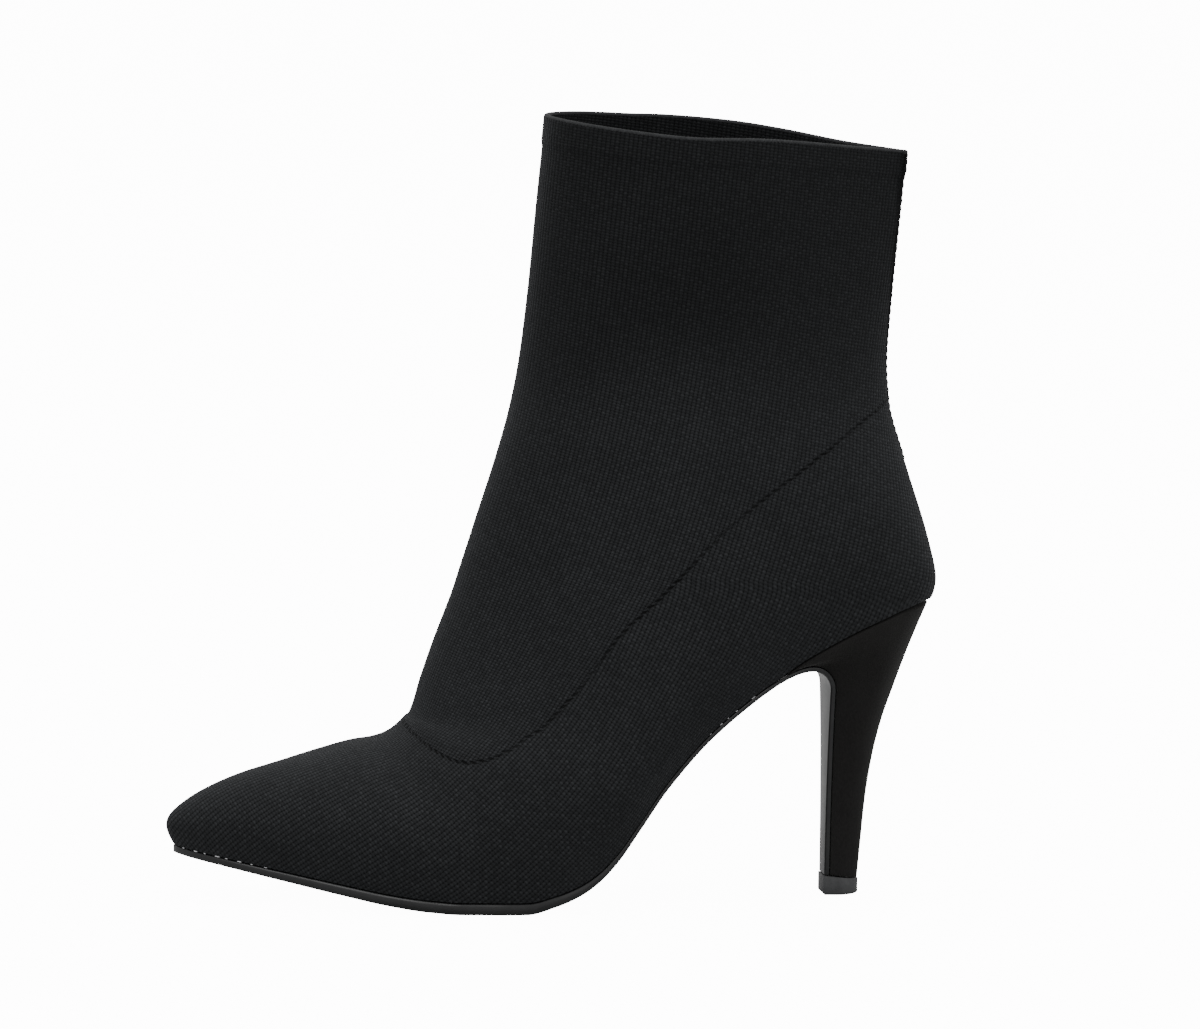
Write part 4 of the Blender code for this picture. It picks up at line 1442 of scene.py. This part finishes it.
@dataclass
class RimFold(Piece):
    """The soft roll where the knit folds over at the collar, in a lighter yarn colour that paints the light the fold
    catches.
    """

    name: ClassVar[str] = "rim_fold"
    closed: ClassVar[bool] = False
    smooth_below: ClassVar[float] = 60.0
    last: BootLast
    radius: float = 0.00078
    flatness: float = 1.22
    pitch: float = 0.00115
    beat: float = 0.07
    drop: float = 0.25
    # Painted light: lighter than the knit's yarn, as the fold catches the light from above.
    finish: NapFinish = NapFinish(
        "lit_rim_yarn", (0.0095, 0.0098, 0.0103), (0.0310, 0.0320, 0.0333), cloud=500.0, grain=2600.0
    )

    def grid(self) -> np.ndarray:
        """Runs a small beaded tube round the rim.

        Returns:
            Its points.
        """
        upper = KnitUpper(self.last)
        face = upper.outer_face()
        rim = face[-1, :-1] - upper.normals_of(face)[-1, :-1] * upper.wall / 2
        rim = np.concatenate([rim, rim[:1]])
        way = way_along(rim)
        stops = np.linspace(0.0, way[-1], 1 + 6 * round(way[-1] / self.pitch / 3))
        line = np.stack([np.interp(stops, way, rim[:, axis]) for axis in range(3)], -1)[:-1]
        for _ in range(4):
            line = (np.roll(line, 1, axis=0) + 2 * line + np.roll(line, -1, axis=0)) / 4
        turn = np.roll(line, -1, axis=0) - np.roll(line, 1, axis=0)
        turn /= np.linalg.norm(turn, axis=1, keepdims=True)
        outward = np.cross(turn, np.array([0.0, 0.0, 1.0]))
        outward /= np.linalg.norm(outward, axis=1, keepdims=True)
        lift = np.cross(outward, turn)
        beat = 1 + self.beat * np.cos(stops[:-1] / self.pitch * 2 * math.pi)
        angles = np.linspace(0.0, 2 * math.pi, 11)[:-1]
        out = self.radius * self.flatness * beat[:, None] * np.cos(angles)
        high = self.radius * beat[:, None] * np.sin(angles) - self.drop * self.radius
        rows = line[:, None] + out[..., None] * outward[:, None] + high[..., None] * lift[:, None]
        return tube_rows(np.concatenate([rows, rows[:1]]))


@dataclass
class BackSeam(Piece):
    """The raised seam up the back of the shaft, a narrow rolled strip with its stitches."""

    name: ClassVar[str] = "back_seam"
    smooth_below: ClassVar[float] = 50.0
    last: BootLast
    first_place: float = 17.05
    half: float = 0.0008
    rise: float = 0.00042
    pitch: float = 0.0024
    beat: float = 0.28
    zigzag: float = 0.00012
    taper: float = 0.0012
    finish: NapFinish = NapFinish(
        "seam_yarn", (0.0050, 0.0052, 0.0056), (0.0150, 0.0156, 0.0164), cloud=300.0, grain=2400.0, sheen=0.08
    )

    def path(self) -> np.ndarray:
        """Points up the back of the shaft, from the panel seam to the rim.

        Returns:
            X and Z of each point.
        """
        upper = KnitUpper(self.last)
        place = np.linspace(self.first_place, float(len(SECTIONS) - 1), 240)
        section = upper.section_at(place)
        swell = smooth([-1.0, 1.0], [0.0, upper.hem_step], (place - upper.hem_place()) / upper.hem_ramp)
        return np.stack([self.last.place_x(section["low"]) + swell, upper.low_height(section)], -1)

    def grid(self) -> np.ndarray:
        """Runs the strip up its path, beating with the stitches.

        Returns:
            Its points.
        """
        path = self.path()
        way = way_along(path)
        turn = np.gradient(path, axis=0)
        turn /= np.linalg.norm(turn, axis=1, keepdims=True)
        angles = np.linspace(-math.pi, math.pi, 13)[:-1]
        beat = 1 + self.beat * np.sin(way / self.pitch * 2 * math.pi)
        ends = np.clip(np.minimum(way, way[-1] - way) / self.taper, 0.02, 1.0) ** 0.5
        out = np.cos(angles) * (self.rise * beat * ends)[:, None]
        side = np.sin(angles) * (self.half * (0.9 + 0.1 * beat) * ends)[:, None]
        side += self.zigzag * np.sin(way / self.pitch * math.pi)[:, None]
        return tube_rows(np.stack([path[:, :1] + turn[:, 1:] * out, side, path[:, 1:] - turn[:, :1] * out], -1))


@dataclass
class BreastForm:
    """The line that the sole follows down the heel's breast, shared by the outsole and the heel."""

    last: BootLast
    leaves: float = 0.772
    reach: float = 0.0052
    height: float = 0.0700
    fillet: float = 0.0065
    flap_thickness: float = 0.0015
    lift_front: float = 0.0060
    lift_back: float = 0.0048
    centred: float = 0.3
    near: float = 0.0005
    turn_steps: int = 18
    straight_steps: int = 28

    def path(self) -> list[tuple[float, float, float, float]]:
        """Outer face of the flap in the middle plane, with its normals.

        Returns:
            X, Z and the two parts of the inward normal at each point.
        """
        last = self.last
        here = float(last.foot_height(self.leaves))
        rise = (here - float(last.foot_height(self.leaves - self.near))) / (self.near * last.length)
        start = (float(last.place_x(self.leaves)), here - float(last.sole_depth(self.leaves)))
        turn = (-self.reach - self.fillet, self.height)
        reach = turn[0] - start[0]
        points = []
        for index in range(self.turn_steps):
            t = index / self.turn_steps
            ease = start[1] * (1 + 2 * t) * (1 - t) ** 2 + rise * reach * t * (1 - t) ** 2
            slope = (turn[1] - start[1]) * 6 * t * (1 - t) / reach + rise * (1 - t) * (1 - 3 * t)
            tilt = math.atan(slope)
            points.append((start[0] + reach * t, ease + turn[1] * t * t * (3 - 2 * t), -math.sin(tilt), math.cos(tilt)))
        for index in range(self.turn_steps + 1):
            angle = math.pi / 2 * (1 - index / self.turn_steps)
            x = turn[0] + self.fillet * math.cos(angle)
            points.append((x, turn[1] - self.fillet + self.fillet * math.sin(angle), math.cos(angle), math.sin(angle)))
        top, bottom = self.height - self.fillet, self.lift_front + last.clearance
        for index in range(1, self.straight_steps + 1):
            points.append((-self.reach, top + (bottom - top) * index / self.straight_steps, 1.0, 0.0))
        return points

    @staticmethod
    def shares(path: Sequence[tuple[float, float, float, float]]) -> np.ndarray:
        """Share of the way along a path at each of its points."""
        way = way_along(np.array(path)[:, :2])
        return way / way[-1]

    def centre(self, share: float) -> float:
        """Sideways place of the flap's middle."""
        return float(self.last.foot_centre(self.leaves)) * max(1 - share / self.centred, 0.0)

    def half(self, share: float) -> float:
        """Half width of the flap at a share of its way."""
        return float(read(FLAP_WIDTH, "along", "half", share)) * self.last.ball_width


@dataclass
class Outsole(Piece):
    """The sole with its inked edge, going on as the flap down the heel's breast."""

    name: ClassVar[str] = "outsole_edge"
    node: ClassVar[str] = "outsole"
    slot: ClassVar[str] = "sole"
    soften: ClassVar[float] = 0.00016
    breast: BreastForm
    edge: float = 0.0006
    shoulder: float = 0.0006
    row_steps: int = 9
    finish: PolishFinish = PolishFinish(
        "sole_edge",
        (0.0070, 0.0072, 0.0076),
        (0.0125, 0.0128, 0.0133),
        0.33,
        uneven=0.08,
        streak=120.0,
        relief=0.00003,
        specular=0.30,
    )

    def side_profile(self, depth: float, half: float, shoulder: float) -> list[tuple[float, float]]:
        """Insets and depths down the sole's rounded edge.

        Args:
            depth: The sole's thickness there.
            half: Its half width there.
            shoulder: How far the top edge is rounded in.

        Returns:
            An inset and a depth for each point, from the top face to the tread.
        """
        shoulder, cut = min(shoulder, half / 2), min(self.edge, half / 2)
        top = [(shoulder * inset, depth * down) for inset, down in SHOULDER_PROFILE]
        return top + [(cut * inset, depth * down) for inset, down in EDGE_PROFILE]

    def grid(self) -> np.ndarray:
        """Lays out the sole from the toe to the breast, and then the flap.

        Returns:
            Its points.
        """
        last, breast = self.breast.last, self.breast
        rows = []
        for along in last.stations(FOOT_LINE[0].along, breast.leaves, self.row_steps)[:-1]:
            high, depth = float(last.foot_height(along)), float(last.sole_depth(along))
            half, centre, x = float(last.foot_half(along)), float(last.foot_centre(along)), float(last.place_x(along))
            profile = self.side_profile(depth, half, self.shoulder)
            rows.append(both_sides([(x, centre, half - inset, high - down) for inset, down in profile]))
        path = breast.path()
        for share, (x, z, across, up) in zip(breast.shares(path), path):
            half, centre, depth = breast.half(share), breast.centre(share), breast.flap_thickness
            profile = self.side_profile(depth, half, self.shoulder * max(1 - share / 0.2, 0.3))
            spots = [(half - inset, depth - down) for inset, down in profile]
            rows.append(both_sides([(x + across * rise, centre, width, z + up * rise) for width, rise in spots]))
        return tube_rows(rows)


@dataclass
class CoveredHeel(Piece):
    """The thin heel in its napped cover, cupped to the foot line at the seat."""

    name: ClassVar[str] = "heel_cover"
    node: ClassVar[str] = "heel"
    slot: ClassVar[str] = "heel_cover"
    soften: ClassVar[float] = 0.00025
    corner: ClassVar[float] = 40.0
    smooth_below: ClassVar[float] = 42.0
    breast: BreastForm
    columns: int = 34
    lip: int = 9
    seat_rows: int = 5
    eased_rows: int = 22
    evening: int = 30
    flare_rows: int = 26
    groove: float = 0.0010
    finish: NapFinish = NapFinish("heel_cover", (0.0068, 0.0066, 0.0064), (0.0126, 0.0121, 0.0118))

    @staticmethod
    def widths(front: float, widest: float, half: float, count: int) -> list[tuple[float, float]]:
        """Half widths of a ring from its flat front round to its back.

        Args:
            front: Half width at the front.
            widest: Share of the length where it is widest.
            half: The widest half width.
            count: How many places are read.

        Returns:
            Pairs of a place and its half width.
        """
        share = np.sin(math.pi / 2 * np.arange(count) / (count - 1))
        squares = smooth([0.0, widest, 1.0], [front * front, half * half, 0.0], share)
        return list(zip(share.tolist(), np.sqrt(np.maximum(squares, 0.0)).tolist()))

    def seat_ring(self, front: float, inset: float) -> list[tuple[float, float, float]]:
        """The heel's top ring on the foot line.

        Args:
            front: X of its front.
            inset: How far it is drawn in.

        Returns:
            The ring's points.
        """
        last = self.breast.last
        spots = []
        for index in range(self.columns):
            share = math.sin(math.pi / 2 * index / (self.columns - 1))
            along = last.along_of(front) + (FOOT_LINE[-1].along - last.along_of(front)) * share
            x, z = float(last.place_x(along)) - inset * share**4, float(last.foot_height(along))
            spots.append((x, float(last.foot_centre(along)), max(float(last.foot_half(along)) - inset, 0.0), z))
        return both_sides(spots)

    def ring(self, share: float, front: tuple[float, float]) -> list[tuple[float, float, float]]:
        """One ring of the heel under its seat.

        Args:
            share: Its place along the breast.
            front: Its front point.

        Returns:
            The ring's points.
        """
        last, breast = self.breast.last, self.breast
        tip = breast.lift_back + last.clearance
        reach, height, half, widest = (
            float(read(HEEL_RINGS, "front", name, share)) for name in ("reach", "height", "half", "widest")
        )
        run = reach * last.heel_overhang - front[0]
        climb = tip + height * (last.heel_height - tip) - front[1]
        widths = self.widths(breast.half(share), widest, half * last.ball_width, self.columns)
        middle = breast.centre(share)
        return both_sides(
            [(front[0] + run * place, middle * (1 - place), width, front[1] + climb * place) for place, width in widths]
        )

    def evened(self, points: np.ndarray) -> np.ndarray:
        """Rounds the turn from the seat into the heel's sides, and leaves the seat and the tip as they are.

        Args:
            points: The rings' points.

        Returns:
            The points with the rings under the seat eased into each other.
        """
        top = points[0] + (points[1] - points[0]) * np.linspace(0.0, 1.0, self.seat_rows + 1)[:-1, None, None]
        points = np.concatenate([top, points[1:]])
        for turn in range(2 * self.evening):
            strength = 0.5 if turn % 2 == 0 else -0.51
            inner = points[1 : self.eased_rows]
            gap = (points[: self.eased_rows - 1] + points[2 : self.eased_rows + 1]) / 2 - inner
            points[1 : self.eased_rows] = inner + strength * gap
        last = self.flare_rows
        way = np.concatenate([[0.0], np.cumsum(np.linalg.norm(np.diff(points, axis=0), axis=-1).mean(-1))])
        reach = way[last]
        below = (points[last + 1] - points[last]) / (way[last + 1] - reach)
        above = 1.5 * (points[last] - points[0]) / reach - 0.5 * below
        t = (way[1:last] / reach)[:, None, None]
        start = points[0] * (1 + 2 * t) * (1 - t) ** 2 + reach * above * t * (1 - t) ** 2
        flare = start + points[last] * t * t * (3 - 2 * t) - reach * below * t * t * (1 - t)
        share = np.sin(math.pi / 2 * np.arange(self.columns) / (self.columns - 1))
        share = np.clip(np.concatenate([share, share[::-1], share[:1]]) / 0.4, 0.0, 1.0)
        share = (share * share * (3 - 2 * share))[:, None]
        points[1:last] += share * (flare - points[1:last])
        return points

    def grid(self) -> np.ndarray:
        """Stacks the rings under the seat.

        Returns:
            Their points, with the ring inside the seat's groove first.
        """
        path = self.breast.path()
        shares = self.breast.shares(path)
        depth = self.breast.flap_thickness + self.breast.last.clearance
        fronts = [(x + across * depth, z + up * depth) for x, z, across, up in path]
        rows = [[(x, y, z - self.groove) for x, y, z in self.seat_ring(fronts[self.lip][0], 0.0)]]
        rows += [self.ring(share, front) for share, front in zip(shares[self.lip :], fronts[self.lip :])]
        top = tube_rows([self.seat_ring(fronts[self.lip][0], self.groove)])
        return np.concatenate([top, self.evened(tube_rows(rows))])


@dataclass
class TopLift(Piece):
    """The rubber piece that the heel stands on."""

    name: ClassVar[str] = "top_lift_rubber"
    node: ClassVar[str] = "top_lift"
    slot: ClassVar[str] = "lift_rubber"
    soften: ClassVar[float] = 0.0002
    corner: ClassVar[float] = 35.0
    breast: BreastForm
    tip_back: float = 0.0057
    tip_width: float = 0.0104
    bevel: float = 0.0005
    lip: float = 0.0002
    widest: float = 0.42
    narrow: float = 0.94
    columns: int = 28
    finish: PolishFinish = PolishFinish(
        "lift_rubber",
        (0.0265, 0.0270, 0.0281),
        (0.0400, 0.0408, 0.0422),
        0.50,
        uneven=0.10,
        streak=260.0,
        relief=0.00006,
        specular=0.30,
    )

    def ring(self, inset: float, top: bool) -> list[tuple[float, float, float]]:
        """One ring of the lift, drawn in by an inset, at the floor or along its sloping top.

        Args:
            inset: How far it is drawn in.
            top: Whether it is the top ring.

        Returns:
            The ring's points.
        """
        front = inset - self.breast.reach - self.lip
        back = self.tip_back + self.lip - inset
        half_tip = self.tip_width / 2
        drop = self.breast.lift_back - self.breast.lift_front
        spots = []
        for place, width in CoveredHeel.widths(half_tip * self.narrow, self.widest, half_tip, self.columns):
            half = max(width + self.lip - inset, 0.0) if width > 0.0 else 0.0
            high = self.breast.lift_front + drop * place if top else 0.0
            spots.append((front + (back - front) * place, 0.0, half, high))
        return both_sides(spots)

    def grid(self) -> np.ndarray:
        """Stacks the bevelled foot, the side and the sloping top.

        Returns:
            Their points.
        """
        side = [(x, y, self.bevel) for x, y, _ in self.ring(0.0, False)]
        return tube_rows([self.ring(self.bevel, False), side, self.ring(0.0, True)])


@dataclass
class SockLining(Piece):
    """The padded insole that shows inside the boot."""

    name: ClassVar[str] = "sock_lining"
    node: ClassVar[str] = "insole"
    slot: ClassVar[str] = "lining"
    soften: ClassVar[float] = 0.0005
    corner: ClassVar[float] = 50.0
    smooth_below: ClassVar[float] = 50.0
    last: BootLast
    wall: float = 0.0018
    thickness: float = 0.0020
    chamfer: float = 0.0006
    near: float = 0.0005
    row_steps: int = 6
    finish: NapFinish = NapFinish(
        "sock_lining", (0.0080, 0.0078, 0.0076), (0.0150, 0.0146, 0.0142), cloud=120.0, grain=900.0
    )

    def edge_point(self, along: float, side: int, inset: float) -> tuple[float, float]:
        """Point of the outline on one side, moved inwards.

        Args:
            along: Its share of the length.
            side: -1 for the outer side, 1 for the inner.
            inset: How far it is moved.

        Returns:
            X and Y.
        """
        last = self.last
        low = max(along - self.near, FOOT_LINE[0].along)
        high = min(along + self.near, FOOT_LINE[-1].along)
        half = float(last.foot_half(along))
        if half <= 0.0:
            inwards = 1 if along < 0.5 else -1
            return float(last.place_x(along)) + inwards * inset, float(last.foot_centre(along))
        run = float(last.place_x(high) - last.place_x(low))
        widening = last.foot_half(high) - last.foot_half(low)
        across = float(last.foot_centre(high) - last.foot_centre(low) + side * widening)
        length = math.hypot(run, across)
        x = float(last.place_x(along)) + side * inset * across / length
        return x, float(last.foot_centre(along)) + side * half - side * inset * run / length

    def grid(self) -> np.ndarray:
        """Lays out the insole from the toe to the seat's end.

        Returns:
            Its points.
        """
        last = self.last
        inset = self.wall + 3 * last.clearance
        rows = []
        for along in last.stations(FOOT_LINE[0].along, FOOT_LINE[-1].along, self.row_steps):
            sides = [self.edge_point(along, side.value, inset) for side in Side]
            cut = min(self.chamfer, abs(sides[1][1] - sides[0][1])) / 2
            row = []
            for side, (x, y) in zip(Side, sides):
                low = float(last.foot_height(last.along_of(x))) + last.clearance
                profile = [(x, y, low + self.thickness), (x, y, low + cut), (x, y - side.value * cut, low)]
                row += profile if side is Side.LATERAL else profile[::-1]
            rows.append(row)
        return tube_rows(rows)


@dataclass
class GlueSpecks:
    """Specks of dried glue where the knit meets the sole, at the toe and under the arch."""

    last: BootLast
    depth: float = 0.25
    sunk: float = 0.00003
    lift: float = 0.00018
    near: float = 0.002
    finish: PolishFinish = PolishFinish(
        "dried_glue", (0.30, 0.30, 0.31), (0.52, 0.52, 0.53), 0.28, uneven=0.08, streak=900.0, relief=0.00003
    )

    def build(self) -> bpy.types.Object:
        """Builds and dresses the specks.

        Returns:
            The piece.
        """
        last = self.last
        Workbench.deselect()
        for index, speck in enumerate(GLUE_SPECKS):
            x = float(last.place_x(speck.along))
            y = float(last.foot_centre(speck.along) - last.foot_half(speck.along)) - self.sunk
            z = float(last.foot_height(speck.along)) + self.lift
            size = (speck.length / 2 * MM, self.depth / 2 * MM, speck.height / 2 * MM)
            ends, gap = (speck.along + self.near, speck.along - self.near), 2 * self.near * last.length
            run = float(last.foot_half(ends[0]) - last.foot_half(ends[1])) / gap
            rise = float(last.foot_height(ends[0]) - last.foot_height(ends[1])) / gap
            turn = (0.0, -math.atan(rise), -math.atan(run))
            spot = {"location": (x, y, z), "rotation": turn, "scale": size}
            bpy.ops.mesh.primitive_ico_sphere_add(subdivisions=2, radius=1.0, **spot)
            if index == 0:
                specks = bpy.context.object
                bpy.ops.object.transform_apply(location=True, rotation=True, scale=True)
                bpy.ops.object.mode_set(mode="EDIT")
        bpy.ops.object.mode_set(mode="OBJECT")
        specks.name = "glue_specks"
        specks.data.name = "glue_specks"
        Workbench.shade(specks, 60)
        Workbench.finish(specks, self.finish.material(), "", "sole")
        return specks


@dataclass(frozen=True)
class Studio:
    """Camera at the photograph's angle, soft lights and a plain pale floor."""

    distance: float = 3.0
    azimuth: float = -9.0
    elevation: float = 7.2
    roll: float = 0.9
    metres_per_pixel: float = 0.000305
    frame_width: int = 1200
    frame_height: int = 1029
    origin_pixel: tuple[float, float] = (838.0, 892.5)
    glow: float = 13.0
    floor_glow: float = 0.02
    sky_glow: float = 1.0
    floor_tones: tuple[float, float] = (0.44, 0.47)

    def camera(self) -> None:
        """Places the camera so that the boot's origin lands on its pixel of the photograph."""
        a, e, r = map(math.radians, (self.azimuth, self.elevation, self.roll))
        back = Vector((math.sin(a) * math.cos(e), -math.cos(a) * math.cos(e), math.sin(e)))
        right = Vector((math.cos(a), math.sin(a), 0.0))
        up = back.cross(right)
        right, up = math.cos(r) * right + math.sin(r) * up, -math.sin(r) * right + math.cos(r) * up
        focal = self.distance / self.metres_per_pixel
        dx = (self.origin_pixel[0] - self.frame_width / 2) / focal
        dy = (self.frame_height / 2 - self.origin_pixel[1]) / focal
        data = bpy.data.cameras.new("photo_view")
        data.sensor_width = 36.0
        data.lens = focal * data.sensor_width / self.frame_width
        data.clip_end = 100.0
        camera = bpy.data.objects.new("photo_view", data)
        bpy.context.scene.collection.objects.link(camera)
        camera.matrix_world = Matrix.Translation(self.distance * (back - dx * right - dy * up)) @ Matrix(
            (right, up, back)
        ).transposed().to_4x4()
        bpy.context.scene.camera = camera

    @staticmethod
    def lamp(name: str, place: tuple[float, float, float], size: float, power: float) -> None:
        """Adds a soft square light that faces the boot.

        Args:
            name: Its name.
            place: Where it hangs.
            size: Its side.
            power: Its power in watts.
        """
        data = bpy.data.lights.new(name, "AREA")
        data.shape = "SQUARE"
        data.size = size
        data.energy = power
        lamp = bpy.data.objects.new(name, data)
        bpy.context.scene.collection.objects.link(lamp)
        aim = Vector((-0.09, 0.0, 0.12)) - Vector(place)
        lamp.matrix_world = Matrix.Translation(place) @ aim.to_track_quat("-Z", "Y").to_matrix().to_4x4()

    def floor(self) -> None:
        """Lays the pale floor, with a plain procedural finish."""
        Workbench.deselect()
        bpy.ops.mesh.primitive_plane_add(size=40.0, location=(0.0, 0.0, -0.0001))
        floor = bpy.context.object
        floor.name = "floor"
        work = Surface("pale_floor", Roughness=0.9, Specular_IOR_Level=0.1, Emission_Color=(1.0, 1.0, 1.0, 1.0))
        dark, light = ((tone, tone, tone) for tone in self.floor_tones)
        seen = work.add("LightPath").outputs["Is Camera Ray"]
        work.feed(
            Base_Color=work.blend(work.noise(work.place, Scale=3.0, Detail=2.0), dark, light),
            Emission_Strength=work.maths("MULTIPLY_ADD", seen, self.glow, self.floor_glow),
        )
        floor.data.materials.append(work.made)

    def sky(self) -> None:
        """Surrounds the boot with even white light, brighter where the camera sees it."""
        world = bpy.data.worlds.new("studio")
        world.use_nodes = True
        work = Shading(world.node_tree)
        back = world.node_tree.nodes["Background"]
        back.inputs[0].default_value = (1.0, 1.0, 1.0, 1.0)
        seen = work.add("LightPath").outputs["Is Camera Ray"]
        work.join(work.maths("MULTIPLY_ADD", seen, self.glow + 0.5, self.sky_glow), back.inputs[1])
        bpy.context.scene.world = world

    def build(self) -> None:
        """Sets up the whole studio."""
        self.camera()
        self.floor()
        self.sky()
        self.lamp("key", (-1.0, -1.5, 1.6), 1.1, 22.0)
        self.lamp("fill", (1.3, -1.2, 0.9), 1.4, 7.0)
        self.lamp("top", (-0.1, 0.1, 2.0), 1.0, 26.0)


def main() -> None:
    """Builds the boot's pieces in order, then the studio."""
    logging.basicConfig(level=logging.INFO, format="%(name)s %(message)s")
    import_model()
    last = BootLast()
    breast = BreastForm(last)
    outside = (KnitUpper(last), RimFold(last), BackSeam(last), SockLining(last), Outsole(breast), GlueSpecks(last))
    for piece in (*outside, CoveredHeel(breast), TopLift(breast)):
        piece.build()
    Studio().build()


if __name__ == "__main__":
    main()
